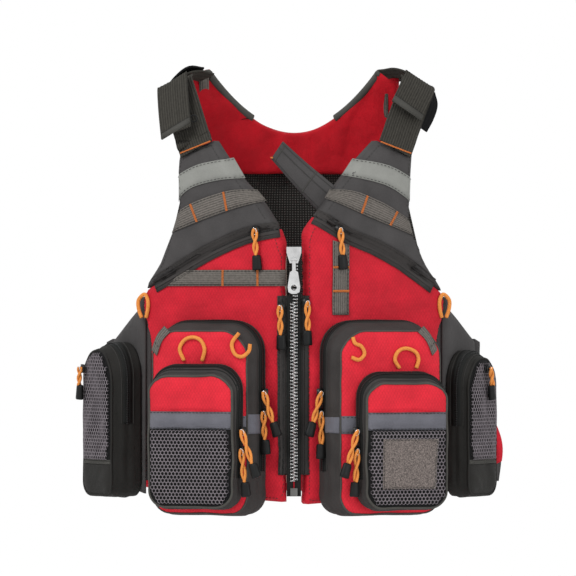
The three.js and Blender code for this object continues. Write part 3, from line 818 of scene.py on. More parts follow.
STRIPS = {  # look, slot and thickness
    "reflective_band": (REFLECTIVE, "reflective_tape", 0.8),
    "shoulder_daisy_webbing": (WEBBING, "webbing", 1.6),
    "chest_webbing": (WEBBING, "webbing", 1.6),
}
TACKS = {  # where the bar tacks lie, as shares of the strip's length
    "reflective_band_right": (),
    "reflective_band_left": (),
    "shoulder_daisy_webbing_right": (0.38, 0.7),
    "shoulder_daisy_webbing_left": (0.38, 0.7),
    "chest_webbing_right": (0.48, 0.78),
    "chest_webbing_left": (0.36, 0.68),
}
# How far each strip is drawn out towards the zip.
TO_NECK = {"reflective_band": 9, "shoulder_daisy_webbing": 12, "chest_webbing": 0}


def drawn_out(line, extra):
    """A line made longer at its end next to the zip."""
    if line[0].x > line[-1].x:
        line = line[::-1]
    return [line[0] + (line[0] - line[1]).normalized() * extra, *line]


def front_strips(front):
    name, face = front.name, front.face
    for kind, (material, slot, thick) in STRIPS.items():
        node = f"{kind}_{name}"
        sides = long_sides(face_outline(node, face))
        if TO_NECK[kind]:
            sides = [drawn_out(side, TO_NECK[kind]) for side in sides]
        strip = laid_strip(node + "_strip", sides, front.depth, face, thick + 0.5, thick, material)
        wear(strip, f"front_{name}", slot, node)
        for row, share in enumerate((0.07, 0.93)):
            line = shifted(*sides, share)
            sewn = stitches(f"{node}_stitches_{row}", line, face, front.depth, thick + 0.6)
            wear(sewn, f"front_{name}", slot)
        for i, share in enumerate(TACKS[node]):
            ends = across_strip(sides, share)
            tack = bar_tack(f"{node}_tack_{i}", *ends, face, front.depth, thick + 0.9)
            wear(tack, f"front_{name}", "orange_cord")


# ---- Zips ----
COIL_PITCH = 2.4


def coil_teeth(path, normals, width):
    """Small teeth across a path."""
    count = max(3, int(run_length(path) / COIL_PITCH))
    spots, faces_out = even(path, count, closed=False), even(normals, count, closed=False)
    parts = []
    for i, spot in enumerate(spots):
        ahead, behind = spots[min(i + 1, count - 1)], spots[max(i - 1, 0)]
        run = (ahead - behind).normalized()
        out = faces_out[i].normalized()
        side = run.cross(out).normalized()
        parts.append(block(spot + out * 0.3, (1.5, width, 1.3), (run, side, out), 0.3))
    return merged(parts)


def surface_zip(prefix, line, face, depth, half, body):
    """A zip laid along a line of (s, z) points on a front: welt band, lips, tape and teeth."""
    count = 60
    spots = even(line, count, closed=False)
    offsets = []
    for i in range(count):
        run = (spots[min(i + 1, count - 1)] - spots[max(i - 1, 0)]).normalized()
        offsets.append(Vector((-run.y, run.x)))
    edge = lambda distance: [p + n * distance for p, n in zip(spots, offsets)]
    band = laid_strip(prefix + "_welt", (edge(-half), edge(half)), depth, face, 2.2, 3.6, GUSSET)
    wear(band, body, "dark_fabric")
    for row, (low, high) in enumerate(((-0.5, -0.08), (0.08, 0.5))):
        sides = (edge(low * half), edge(high * half))
        lip = laid_strip(f"{prefix}_lip_{row}", sides, depth, face, 3.0, 0.9, GUSSET)
        wear(lip, body, "dark_fabric")
    tape = laid_strip(prefix + "_tape", (edge(-0.2 * half), edge(0.2 * half)), depth, face, 2.5, 0.8, ZIP)
    wear(tape, body, "zip_tape")
    path = [face.at(p.x, depth(p.x, p.y) + 2.2, p.y) for p in spots]
    teeth = build(prefix + "_teeth", *coil_teeth(path, [face.out] * count, 2.4), COIL)
    wear(teeth, body, "black_moulding")
    for row, distance in enumerate((-0.8 * half, 0.8 * half)):
        sewn = stitches(f"{prefix}_stitches_{row}", edge(distance), face, depth, 2.4)
        wear(sewn, body, "dark_fabric")


TIP_LENGTH = 20
# Shares of a tip's length, with half its width there.
TIP_PROFILE = [(0.0, 5.0), (0.05, 6.0), (0.2, 6.4), (0.5, 6.6), (0.8, 7.0), (0.94, 7.0), (1.0, 6.0)]
TIP_SIDES = 14
STRAND = 2.0  # radius of a pull's cord
LOBE = 3.2  # how far a loop of it stands to each side


def zip_pull(node, face, body, lift=0.0):
    """A zip slider with a bridge, its looped cord and moulded tip, where the CAD node holds them."""
    local = np.array([face.local(v.co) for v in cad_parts[node].data.vertices])
    top, bottom = local[:, 2].max(), local[:, 2].min()
    head = local[local[:, 2] > top - 1].mean(0)
    end = local[local[:, 2] < bottom + 6].mean(0)
    slider = face.at(head[0], head[1] + lift, top - 6)
    tip_end = face.at(end[0], end[1] + lift, bottom)
    axes = (face.across, face.out, UP)
    body_parts = [
        block(slider + face.out * 1.2, (8, 1.6, 12), axes),
        block(slider - face.out * 1.4, (8, 1.4, 11), axes),
        block(slider, (2, 2.6, 5), axes),
        block(slider + face.out * 2.9, (2.6, 2.2, 8), axes, 0.4),
    ]
    wear(build(node + "_slider", *merged(body_parts), SLIDER), body, "black_moulding", node)
    start = slider + face.out * 3.4 + UP * 1.5
    down = (tip_end - start).normalized()
    hang = (tip_end - start).length - TIP_LENGTH
    side = down.cross(face.out).normalized()
    tip_start = start + down * hang
    strands = []
    for way in (-1, 1):
        route = []
        for step in range(17):
            share = step / 16
            spread = LOBE * way * math.sin(2 * math.pi * share) / (1 + 0.4 * share)
            crossing = 1.6 * way * math.cos(2 * math.pi * share)
            route.append(start + down * hang * share + side * spread + face.out * (crossing + 1.6))
        strands.append(sweep(spline(route, 34), circle(STRAND, 8)))
    wear(build(node + "_cord", *merged(strands), ORANGE), body, "orange_cord")
    ring = [start + down * (3.4 - 4.2 * math.cos(a)) + side * 3.0 * math.sin(a)
            + face.out * (2.4 + math.cos(a)) for a in np.linspace(0, 2 * math.pi, 20, endpoint=False)]
    wear(build(node + "_ring", *sweep(ring, circle(0.6, 6), closed=True), METAL), body, "bright_steel")
    points = []
    for share, half in TIP_PROFILE:
        centre = tip_start + down * TIP_LENGTH * share
        points += [centre + side * a + face.out * b * 0.7 for a, b in circle(half, TIP_SIDES)]
    faces = tube_faces(TIP_SIDES, len(TIP_PROFILE))
    ridges = [block(tip_start + down * place + face.out * 2.6, (7.2, 1.2, 1.1), (side, face.out, down), 0.4)
              for place in (7.5, 10, 12.5)]
    wear(build(node + "_tip", *merged([(points, faces), *ridges]), BLACK), body, "black_moulding")


# ---- Bags on a face ----
class Bag:
    """A box pocket: a gusset from the wall to the lip, which is the edge of its pillowed face.

    The lip is drawn in by above at the top, by beside_zip on the zip's side and by other elsewhere.
    """

    COUNT = 150  # points round the wall

    def __init__(self, node, face, above, beside_zip, other, pillow, swell=0.0):
        self.node, self.face, self.pillow = node, face, pillow
        low, high = spans(node, face)
        self.base, self.top = low[1], high[1] - pillow + swell
        self.wall = even(anticlockwise(face_outline(node, face)), self.COUNT)
        start = min(range(self.COUNT), key=lambda i: self.wall[i].y + abs(self.wall[i].x - low[0]) * 0.2)
        self.wall = self.wall[start:] + self.wall[:start]

        def drawn_in(outward):
            up, inner = max(0.0, outward.y), max(0.0, -outward.x)
            return other + (above - other) * up + (beside_zip - other) * inner

        uneven = [Vector((folds(p.x, p.y, 30, 1), folds(p.x, p.y, 30, 2))) * 1.6 for p in self.wall]
        self.lip = [p + shift for p, shift in zip(inset(self.wall, drawn_in), uneven)]

    def on_gusset(self, place, share, lift=0.0):
        """A point of the gusset: place goes round from 0 to 1, share from the wall to the face's edge."""
        at = place % 1 * self.COUNT
        i, t = int(at) % self.COUNT, at % 1
        j = (i + 1) % self.COUNT
        wall, lip = self.wall[i].lerp(self.wall[j], t), self.lip[i].lerp(self.lip[j], t)
        run = (self.wall[j] - self.wall[i]).normalized()
        outward = Vector((run.y, -run.x))
        ease = share**1.7
        soft = 1.6 * folds(at * 1.6, share * 60, 16, self.base) + 0.5 * math.cos(6 * math.pi * share)
        swollen = (1.4 + soft) * math.sin(math.pi * share)
        spot = wall.lerp(lip, ease) + outward * (swollen + lift)
        return self.face.at(spot.x, self.base + share * (self.top - self.base), spot.y)

    def place_of(self, s, z):
        return min(range(self.COUNT), key=lambda i: (self.wall[i] - Vector((s, z))).length) / self.COUNT

    def face_depth(self, points):
        near = distances(points, self.lip)
        seed = self.base + self.face.side
        soft = np.array([folds(p[0], p[1], 30, seed) + 0.5 * folds(p[0] + p[1], 0.5 * p[1], 13, seed + 5)
                         for p in points])
        return self.top + (self.pillow - 1.8) * round_edge(near, 22) + 1.8 * soft * np.minimum(1, near / 12)

    def gusset(self, material, body, slot):
        rows = 18
        points, quads = grid(self.COUNT, rows, self.on_gusset)
        back = [self.face.at(p.x, self.base, p.y) for p in self.wall]
        start = len(points)
        points += back
        quads.append(tuple(start + i for i in range(len(back))))
        wide = self.COUNT + 1
        around = run_length(self.wall)
        uvs = [(i / self.COUNT * around, j * 3) for j in range(rows + 1) for i in range(wide)]
        uvs += [(p.x, p.y) for p in self.wall]
        obj = build(self.node + "_gusset", points, quads, material, uvs=uvs)
        wear(obj, body, slot, self.node)
        return obj

    def front(self, regions, body, slot):
        """The face, split at level cuts into materials from the bottom up: [(material, top z), ...]."""
        cuts = [top for _, top in regions[:-1]]
        points, triangles = filled(self.lip, 4.5, cuts)
        depths = self.face_depth(points)
        verts = [self.face.at(p[0], d, p[1]) for p, d in zip(points, depths)]
        indices = []
        for t in triangles:
            z = sum(points[i][1] for i in t) / 3
            indices.append(sum(z > cut for cut in cuts))
        materials = [material for material, _ in regions]
        obj = build(self.node + "_face", verts, triangles, materials[0], uvs=[(p[0], p[1]) for p in points],
                    materials=materials[1:], indices=indices)
        wear(obj, body, slot)
        self.skin = [skin_of(obj)]
        return obj

    def depth(self, s, z):
        return surface_depth(self.skin, self.face, s, z, self.top)

    def piping(self, material, body, slot, radius=1.7):
        path = [self.face.at(p.x, self.top + 0.3, p.y) for p in self.lip]
        wear(build(self.node + "_piping", *sweep(path, circle(radius), closed=True), material), body, slot)

    def gusset_band(self, name, start, end, low, high, lift, material, body, slot):
        """A strip along the gusset between two places and two shares of its depth."""
        columns, rows = max(8, int((end - start) * self.COUNT)), 3
        skins = []
        for height in (lift, lift - 0.7):
            skin, quads = grid(columns, rows, lambda u, v: self.on_gusset(
                start + (end - start) * u, low + (high - low) * v, height))
            skins.append(skin)
        points, faces = two_skins(*skins, quads)
        uvs = [(j * 4, i * 4) for j in range(rows + 1) for i in range(columns + 1)] * 2
        wear(build(name, points, faces, material, uvs=uvs), body, slot)

    def gusset_zip(self, start, end, share, half, body):
        """The pocket's zip along its gusset."""
        depth = self.top - self.base
        low, high = share - half / depth, share + half / depth
        self.gusset_band(f"{self.node}_zip_tape", start, end, low, high, 0.7, ZIP, body, "zip_tape")
        places = [start + (end - start) * i / 60 for i in range(61)]
        path = [self.on_gusset(p, share, 0.9) for p in places]
        normals = [self.on_gusset(p, share, 2) - self.on_gusset(p, share, 0) for p in places]
        teeth = coil_teeth(path, normals, 3.4)
        wear(build(f"{self.node}_zip_teeth", *teeth, COIL), body, "black_moulding")
        for row, edge in enumerate((low - 2.5 / depth, high + 2.5 / depth)):
            line = [self.on_gusset(p, edge, 0.5) for p in places]
            line = even(line, 120, closed=False)
            rope(f"{self.node}_zip_seam_{row}", line, 0.45, THREAD, body, "dark_fabric")


NET_PITCH = 5.4
NET_BAR = 0.78  # half a strand of the net


def net(name, outline, depth, face, lift, body):
    """A honeycomb net over an outline, each strand raised along its middle."""
    pitch, bar = NET_PITCH, NET_BAR
    radius = pitch / math.sqrt(3)
    low = Vector((min(p.x for p in outline), min(p.y for p in outline)))
    high = Vector((max(p.x for p in outline), max(p.y for p in outline)))
    rows, columns = int((high.y - low.y) / (1.5 * radius)) + 2, int((high.x - low.x) / pitch) + 2
    centres = [low + Vector(((c + 0.5 * (r % 2)) * pitch, r * 1.5 * radius))
               for r in range(rows) for c in range(columns)]
    keep = inside(centres, outline) & (distances(centres, outline) > 0.35 * pitch)
    points, faces = [], []
    for centre, kept in zip(centres, keep):
        if not kept:
            continue
        start = len(points)
        for reach, height in ((radius, lift), (radius - bar, lift - 0.9)):
            for k in range(6):
                angle = math.pi / 6 + k * math.pi / 3
                spot = centre + Vector((math.cos(angle), math.sin(angle))) * reach
                points.append(face.at(spot.x, depth(spot.x, spot.y) + height, spot.y))
        faces += [(start + k, start + (k + 1) % 6, start + 6 + (k + 1) % 6, start + 6 + k) for k in range(6)]
    obj = build(name, points, faces, NET, outward=False)
    wear(obj, body, "pocket_mesh")


def clipped(outline, low, high):
    """The part of an outline between two levels."""
    for level, keep_above in ((low, True), (high, False)):
        result = []
        for a, b in zip(outline, outline[1:] + outline[:1]):
            a_in, b_in = (a.y >= level) == keep_above, (b.y >= level) == keep_above
            if a_in:
                result.append(a)
            if a_in != b_in:
                result.append(a.lerp(b, (level - a.y) / (b.y - a.y)))
        outline = result
    return outline


STRIPE_HIGH = 24
MAIN_STRIPE_LOW = 110
ABOVE_ALL = 400  # a level above every bag


def level_strip(name, bag, low, high, material, body, slot):
    """A strip straight across a bag's face."""
    thick = 0.9
    part = clipped(bag.lip, low, high)
    left, right = min(p.x for p in part) + 1, max(p.x for p in part) - 1
    sides = [[Vector((left, z)), Vector((right, z))] for z in (low, high)]
    wear(laid_strip(name, sides, bag.depth, bag.face, thick, thick, material, step=4), body, slot)
    for row, z in enumerate((low + 1.5, high - 1.5)):
        line = [Vector((left, z)), Vector((right, z))]
        wear(stitches(f"{name}_stitches_{row}", line, bag.face, bag.depth, thick + 0.1), body, slot)


def main_pocket(name):
    """A plain red bag with a stripe, a zip on its gusset and a tab at its corner."""
    face, body, node = FRONT[name], f"front_{name}", f"main_pocket_{name}"
    bag = Bag(node, face, above=14, beside_zip=9, other=2, pillow=7)
    bag.gusset(GUSSET, body, "dark_fabric")
    bag.front([(RED, ABOVE_ALL)], body, "red_fabric")
    bag.piping(BINDING, body, "dark_fabric", 1.2)
    low, high = spans(node, face)
    stripe_top = MAIN_STRIPE_LOW + STRIPE_HIGH
    level_strip(f"{node}_stripe", bag, MAIN_STRIPE_LOW, stripe_top, STRIPE, body, "dark_fabric")
    first, last = (bag.place_of(low[0], z) for z in (stripe_top, MAIN_STRIPE_LOW))
    bag.gusset_band(f"{node}_gusset_stripe", first, last, 0.05, 0.97, 0.5, STRIPE, body, "dark_fabric")
    start, end = bag.place_of(low[0], 60), bag.place_of(high[0], 190)
    zip_places(bag, start, end, 14 / (bag.top - bag.base), body)
    corner_tab(bag, body)
    return bag


def zip_places(bag, start, end, share, body):
    """The zip goes up the side next to the main zip and over the top."""
    if end > start:
        start += 1
    bag.gusset_zip(end, start, share, 6, body)


TAB_ROUTE = [(171, 251), (181, 238), (188, 219)]
TAB_WIDE = 12


def corner_tab(bag, body):
    """A webbing tab that hangs from the gusset over the face's upper outer corner."""
    line = spline([bag.face.seen(x, z, bag.top) for x, z in TAB_ROUTE], 12)
    across = Vector((0.75, 0.66)) * TAB_WIDE / 2
    sides = [[p - across for p in line], [p + across for p in line]]
    tab = laid_strip(f"{bag.node}_tab", sides, bag.depth, bag.face, 2.6, 2.0, WEBBING, step=3)
    wear(tab, body, "webbing")
    sewn = stitches(f"{bag.node}_tab_stitches", [sides[0][8], sides[1][8]], bag.face, bag.depth, 2.8, pitch=3)
    wear(sewn, body, "webbing")


def ribbed(name, path, across, width, thick, material):
    """Webbing with raised ribs along a path in space."""
    ribs = round(width / 5)
    top = [(-width / 2 + width * i / (4 * ribs), thick / 2 + 0.28 * math.cos(math.pi * i / 2))
           for i in range(4 * ribs + 1)]
    section = top + [(a, -b) for a, b in reversed(top)]
    points, faces = sweep(path, section, across=across.normalized())
    runs = np.cumsum([0] + [(b - a).length for a, b in zip(path, path[1:])])
    uvs = [(a, run) for run in runs for a, _ in section]
    return build(name, points, faces, material, uvs=uvs)


def small_pocket(name):
    """A bag on the main pocket: net below, a stripe across and red above."""
    face, body, node = FRONT[name], f"front_{name}", f"small_pocket_{name}"
    bag = Bag(node, face, above=15, beside_zip=5, other=2, pillow=6)
    low, high = spans(node, face)
    stripe = low[2] + 107
    bag.gusset(GUSSET, body, "dark_fabric")
    bag.front([(LINING, stripe), (STRIPE, stripe + STRIPE_HIGH), (RED, ABOVE_ALL)], body, "red_fabric")
    bag.piping(BINDING, body, "dark_fabric")
    region = clipped(inset(bag.lip, 3), low[2], stripe)
    net(f"{node}_net", region, bag.depth, face, 1.5, body)
    level_strip(f"{node}_stripe", bag, stripe, stripe + STRIPE_HIGH, STRIPE, body, "dark_fabric")
    start, end = bag.place_of(low[0], 50), bag.place_of(high[0], high[2] - 60)
    zip_places(bag, start, end, 10 / (bag.top - bag.base), body)
    return bag


def hook_patch(bag):
    """The loop patch on the left small pocket's net."""
    node, face = "hook_and_loop_patch", FRONT["left"]
    sides = long_sides(face_outline(node, face))
    patch = laid_strip(node + "_pile", sides, bag.depth, face, 2.6, 1.2, PATCH, rows=14)
    wear(patch, "front_left", "hook_and_loop", node)
    outline = inset(anticlockwise(face_outline(node, face)), 2)
    sewn = stitches(node + "_stitches", outline + outline[:1], face, bag.depth, 2.8)
    wear(sewn, "front_left", "hook_and_loop")


# ---- Sides ----
SIDE_SWELL = 7  # how far a full side pocket stands out beyond its CAD solid


def side(name):
    """A side panel and the pocket on it, which has a net above a solid foot."""
    face, body = SIDE[name], "back"
    panel, node = f"side_panel_{name}", f"side_pocket_{name}"
    outline = anticlockwise(face_outline(panel, face))
    points, triangles = filled(outline, 8)
    edge = round_edge(distances(points, outline), 5)
    outer = [face.at(p[0], -3 * (1 - e) + 0.5 * folds(p[0], p[1], 30, 4), p[1]) for p, e in zip(points, edge)]
    inner = [face.at(p[0], -8 + 3 * (1 - e), p[1]) for p, e in zip(points, edge)]
    uvs = [(p[0], p[1]) for p in points] * 2
    obj = build(panel + "_cloth", *two_skins(outer, inner, triangles), DARK, uvs=uvs)
    wear(obj, body, "dark_fabric", panel)
    bag = Bag(node, face, above=10, beside_zip=8, other=0.5, pillow=6, swell=SIDE_SWELL)
    low, high = spans(node, face)
    solid = low[2] + 48
    # The gusset, the solid foot and the piping take the cloth darkened with painted shade.
    bag.gusset(SHADED_SIDE_CLOTH, body, "dark_fabric")
    bag.front([(SHADED_SIDE_CLOTH, solid), (LINING, ABOVE_ALL)], body, "dark_fabric")
    bag.piping(SHADED_SIDE_CLOTH, body, "dark_fabric")
    net(f"{node}_net", clipped(inset(bag.lip, 3), solid, high[2]), bag.depth, face, 1.5, body)
    level_strip(f"{node}_band", bag, solid - 4, solid + 2, BINDING, body, "dark_fabric")
    start, end = bag.place_of(low[0], 120), bag.place_of(high[0], 120)
    zip_places(bag, start, end, 0.5, body)


SEAM_LOW = 44
SEAM_RISE = 10  # how much higher it stands on the front than on the side


def joining_cloth(name, columns, rows, place, behind, row_height):
    """Dark cloth on place(u, v), with its other skin the step behind away from it."""
    outer, quads = grid(columns, rows, place)
    inner = [p - behind for p in outer]
    uvs = [(i * 4, j * row_height) for j in range(rows + 1) for i in range(columns + 1)] * 2
    return build(name, *two_skins(outer, inner, quads), DARK, uvs=uvs)


def side_seam(name, front):
    """Dark cloth that joins a front's outer edge to its side panel, and bends at the side seam."""
    face, side_face = FRONT[name], SIDE[name]
    tops = spans(f"side_panel_{name}", side_face)[1][2]
    outer_edge = max(p.x for p in front.lower)

    def place(u, v):
        z = SEAM_LOW + (tops + SEAM_RISE * (1 - u) - SEAM_LOW) * v
        on_front = face.at(outer_edge - 14, -10, z)
        mid = face.at(outer_edge + 2, -9, z)
        on_side = side_face.at(16, -1, z)
        return on_front.lerp(mid, u * 2) if u < 0.5 else mid.lerp(on_side, u * 2 - 1)

    obj = joining_cloth(f"side_seam_{name}", 10, 40, place, face.out * 2, 6)
    z_middle = (SEAM_LOW + tops) / 2
    start, end = face.at(outer_edge - 4, -10, z_middle), side_face.at(6, -2, z_middle)
    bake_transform(obj)


# ---- Main zip ----
TAPE_TAIL = 15  # how far the tapes run on below their CAD solids


def main_zip():
    """Both tapes, and teeth that stand half a pitch apart from side to side."""
    for name, side in SIDES.items():
        node, body = f"zip_tape_{name}", f"front_{name}"
        low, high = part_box(node)
        bottom, top = low.z / MM - TAPE_TAIL, high.z / MM
        rows = int((top - bottom) / 4)
        spots, quads = grid(4, rows, lambda u, v: Vector(
            (side * (0.9 + u * (ZIP_HALF - 1.2)), FRONT_Y + 1.2, bottom + (top - bottom) * v)))
        outer, inner = spots, [p + Vector((0, 1.0, 0)) for p in spots]
        points, faces = two_skins(outer, inner, quads)
        tape = build(node + "_tape", points, faces, ZIP, uvs=[(p.x, p.z) for p in points])
        wear(tape, body, "zip_tape", node)
        pitch = 4.5
        first = bottom + TAPE_TAIL + 6 + (pitch / 2 if side > 0 else 0)
        parts = []
        for i in range(int((top - 6 - first) / pitch)):
            z = first + i * pitch
            parts.append(block(Vector((side * 1.5, FRONT_Y + 1.7, z)), (7.0, 5.0, 1.9), round_by=0.3))
            parts.append(block(Vector((side * 4.4, FRONT_Y + 1.7, z)), (1.8, 5.6, 3.2), round_by=0.3))
        wear(build(f"zip_teeth_{name}", *merged(parts), METAL), body, "bright_steel")


CAD_LOOKS = {
    "main_zip_slider": METAL,
    "main_zip_pull_tab": METAL,
    "zip_bottom_box": DULL_METAL,
    "shoulder_strap_ring": BLACK,
}


def cad_shapes():
    """The parts that keep their CAD shapes."""
    for node, material in CAD_LOOKS.items():
        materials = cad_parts[node].data.materials
        materials.clear()
        materials.append(material)


# ---- Back ----
YOKE_REAR_Y = 118
BACK_CENTRE_Y = 48
BACK_DEPTH = 95
YOKE_HALF = 146
YOKE_LOW = 463
YOKE_NECK = 524  # the top edge at the middle of the neck
YOKE_PEAK = 118  # how far out each wing is highest
YOKE_CLIMB = 84  # how far a wing's top stands above the neck


def yoke_point(u, v, inwards):
    """The yoke crosses the shoulder blades and climbs as two wings to the tops of the shoulders."""
    x = (2 * u - 1) * YOKE_HALF
    reach = abs(x)
    top = YOKE_NECK + YOKE_CLIMB * (min(reach, YOKE_PEAK) / YOKE_PEAK) ** 2 - 0.45 * max(reach - YOKE_PEAK, 0)
    z = YOKE_LOW + (top - YOKE_LOW) * v
    forward = 84 * (reach / YOKE_HALF) ** 2 * ((z - 430) / 180) ** 1.3
    return Vector((x, YOKE_REAR_Y - forward - inwards, z))


def padded_grid(name, columns, rows, place, thick, width, height, material, fold, seed, edge=9, second=None):
    """A closed pad on a surface: place(u, v, inwards). Second is (material, where(u, v))."""
    def skin(u, v, outer):
        near = min(u * width, (1 - u) * width, v * height, (1 - v) * height)
        full = float(round_edge(np.array(near), edge))
        soft = fold * full * folds(u * width, v * height * 0.35, 24, seed)
        middle = thick / 2
        return place(u, v, middle - (middle - 0.3) * full * outer - soft * outer)

    outer, quads = grid(columns, rows, lambda u, v: skin(u, v, 1))
    inner, _ = grid(columns, rows, lambda u, v: skin(u, v, -1))
    points, faces = two_skins(outer, inner, quads)
    uvs = [(i / columns * width, j / rows * height) for j in range(rows + 1) for i in range(columns + 1)] * 2
    if not second:
        return build(name, points, faces, material, uvs=uvs)
    indices = [int(second[1](uvs[f[0]][0] / width, uvs[f[0]][1] / height)) for f in faces]
    return build(name, points, faces, material, uvs=uvs, materials=[second[0]], indices=indices)


def yoke_binding(name, side):
    """Binding over the wing's inner edge and down its outer one, and the sewn lines on its front."""
    places = [0.5 + side * (0.2 + 0.22 * i / 50) for i in range(51)]
    path = [yoke_point(u, 0.96, 9) for u in places]
    section = [(a * 1.75, b) for a, b in circle(6, 14)]
    wear(build(f"yoke_binding_{name}", *sweep(path, section, across=Vector((0, 1, 0))), BINDING), "back",
         "dark_fabric")
    strip = [[yoke_point(0.5 + side * (share + wide), 0.56 + 0.4 * v, 18.6) for v in np.linspace(0, 1, 24)]
             for share, wide in ((0.40, 0.0), (0.40, 0.045))]
    outer = [p for pair in zip(*strip) for p in pair]
    inner = [p + Vector((0, 1.4, 0)) for p in outer]
    quads = [(2 * i, 2 * i + 1, 2 * i + 3, 2 * i + 2) for i in range(23)]
    uvs = [(j * 13, i * 4) for i in range(24) for j in range(2)] * 2
    points, faces = two_skins(outer, inner, quads)
    wear(build(f"yoke_webbing_{name}", points, faces, WEBBING, uvs=uvs), "back", "webbing")
    line = [yoke_point(0.5 + side * u, 0.53 - 2.1 * (u - 0.29), 19) for u in np.linspace(0.29, 0.38, 22)]
    rope(f"yoke_orange_line_{name}", line, 0.9, TACK, "back", "orange_cord")
    seam = [yoke_point(0.5 + side * u, 0.97 - 3.0 * (u - 0.2), 18.2) for u in np.linspace(0.2, 0.38, 30)]
    rope(f"yoke_seam_{name}", seam, 0.6, LINING, "back", "yoke_fabric")


def yoke():
    """The red cloth between the shoulders, with its foam."""
    obj = padded_grid("yoke_cloth", 72, 26, yoke_point, thick=18, width=2 * YOKE_HALF, height=110,
                      material=YOKE_RED, fold=5.5, seed=5)
    swell(obj, 2, 3)
    wear(obj, "back", "yoke_fabric", "yoke_cover")
    foam = padded_grid("yoke_foam_core", 30, 10,
                       lambda u, v, i: yoke_point(0.06 + 0.88 * u, 0.08 + 0.84 * v, i + 3.5),
                       thick=11, width=250, height=90, material=FOAM, fold=0, seed=1)
    wear(foam, "back", "foam", "yoke_foam")
    for name, side in SIDES.items():
        yoke_binding(name, side)


def on_back(half, depth, turn, inwards, z):
    """A point of the oval about the wearer's back, turned from straight behind."""
    return Vector(((half - inwards) * math.sin(turn), BACK_CENTRE_Y + (depth - inwards) * math.cos(turn), z))


HEM_FLARE = 9  # how far the wearer's left end of the lower back stands out past the side pocket
HEM_FLARE_Z = 88
LOWER_BACK = {"turn": 80, "bottom": 22, "bottom_rise": 46, "top": 250, "top_fall": 14, "half": 264, "hem": 26}


def lower_back_point(u, v, inwards):
    """Its ends rise at the bottom and fall at the top, and it widens towards its hem."""
    size = LOWER_BACK
    turn = (2 * u - 1) * math.radians(size["turn"])
    bottom = size["bottom"] + size["bottom_rise"] * math.sin(abs(turn)) ** 6
    top = size["top"] - size["top_fall"] * math.sin(abs(turn)) ** 2
    z = bottom + (top - bottom) * v
    half = size["half"] + size["hem"] * math.cos(min(max(z - 60, 0) / 120, 1) * math.pi / 2)
    half += HEM_FLARE * max(0, math.sin(turn)) ** 8 * math.exp(-((z - HEM_FLARE_Z) / 34) ** 2)
    return on_back(half, BACK_DEPTH, turn, inwards, z)


def back_seam(name, side):
    """Dark cloth that joins the rear edge of a side panel to the lower back."""
    face = SIDE[name]
    rear = spans(f"side_panel_{name}", face)[1][0]

    def place(u, v):
        z = 40 + 176 * v
        back_share = (z - 50) / 190
        start, end = face.at(rear - 8, 0.6, z), lower_back_point(0.5 + side * 0.47, back_share, -0.8)
        return start.lerp(Vector((end.x, end.y, z)), u)

    cloth = joining_cloth(f"back_seam_{name}", 6, 24, place, face.out * 2.4, 7)
    wear(cloth, "back", "dark_fabric")


MESH_LOW = 238  # its lower edge is sewn in behind the top of the lower back
MESH_HIGH = 236  # it runs up behind the yoke's lower edge
MESH_TURN = math.radians(65)  # how far it reaches round to each side
MESH_HALF, MESH_NARROWS = 222, 59  # half its oval's width at the bottom, and how much less that is at the top
MESH_DEPTH, MESH_SHALLOWS = 86, 10  # the same for the oval's depth
MESH_COLUMNS, MESH_ROWS = 90, 30


def back():
    """The lower back with its foam and seams, and the mesh above it."""
    on_side = lambda u, v: abs(u - 0.5) > 0.4 and v > 0.34
    obj = padded_grid("lower_back_cloth", 110, 40, lower_back_point, thick=22, width=640, height=228,
                      material=CHEST_RED, fold=2.5, seed=9, edge=12, second=(DARK, on_side))
    swell(obj, 2, 3)
    wear(obj, "back", "red_fabric", "lower_back_cover")
    foam = padded_grid("lower_back_foam_core", 50, 12,
                       lambda u, v, i: lower_back_point(0.03 + 0.94 * u, 0.06 + 0.88 * v, i + 4),
                       thick=14, width=600, height=200, material=FOAM, fold=0, seed=1)
    wear(foam, "back", "foam", "lower_back_foam")

    for row, v in enumerate((0.06, 0.94)):
        line = [lower_back_point(0.03 + 0.94 * i / 120, v, 0.6) for i in range(121)]
        rope(f"lower_back_seam_{row}", line, 0.7, THREAD, "back", "red_fabric")
    for name, side in SIDES.items():
        back_seam(name, side)

    def mesh_point(u, v):
        half, depth = MESH_HALF - MESH_NARROWS * v, MESH_DEPTH - MESH_SHALLOWS * v
        return on_back(half, depth, (2 * u - 1) * MESH_TURN, 1.5, MESH_LOW + MESH_HIGH * v)

    outer, quads = grid(MESH_COLUMNS, MESH_ROWS, mesh_point)
    inner = [p - Vector((p.x, p.y - BACK_CENTRE_Y, 0)).normalized() * 1.2 for p in outer]
    points, faces = two_skins(outer, inner, quads)
    middle = MESH_ROWS // 2 * (MESH_COLUMNS + 1)
    length = run_length(outer[middle:middle + MESH_COLUMNS + 1])
    uvs = [(i / MESH_COLUMNS * length, j / MESH_ROWS * MESH_HIGH)
           for j in range(MESH_ROWS + 1) for i in range(MESH_COLUMNS + 1)] * 2
    sheet = build("back_mesh_cloth", points, faces, BACK_MESH, uvs=uvs)
    wear(sheet, "back", "black_mesh", "back_mesh")


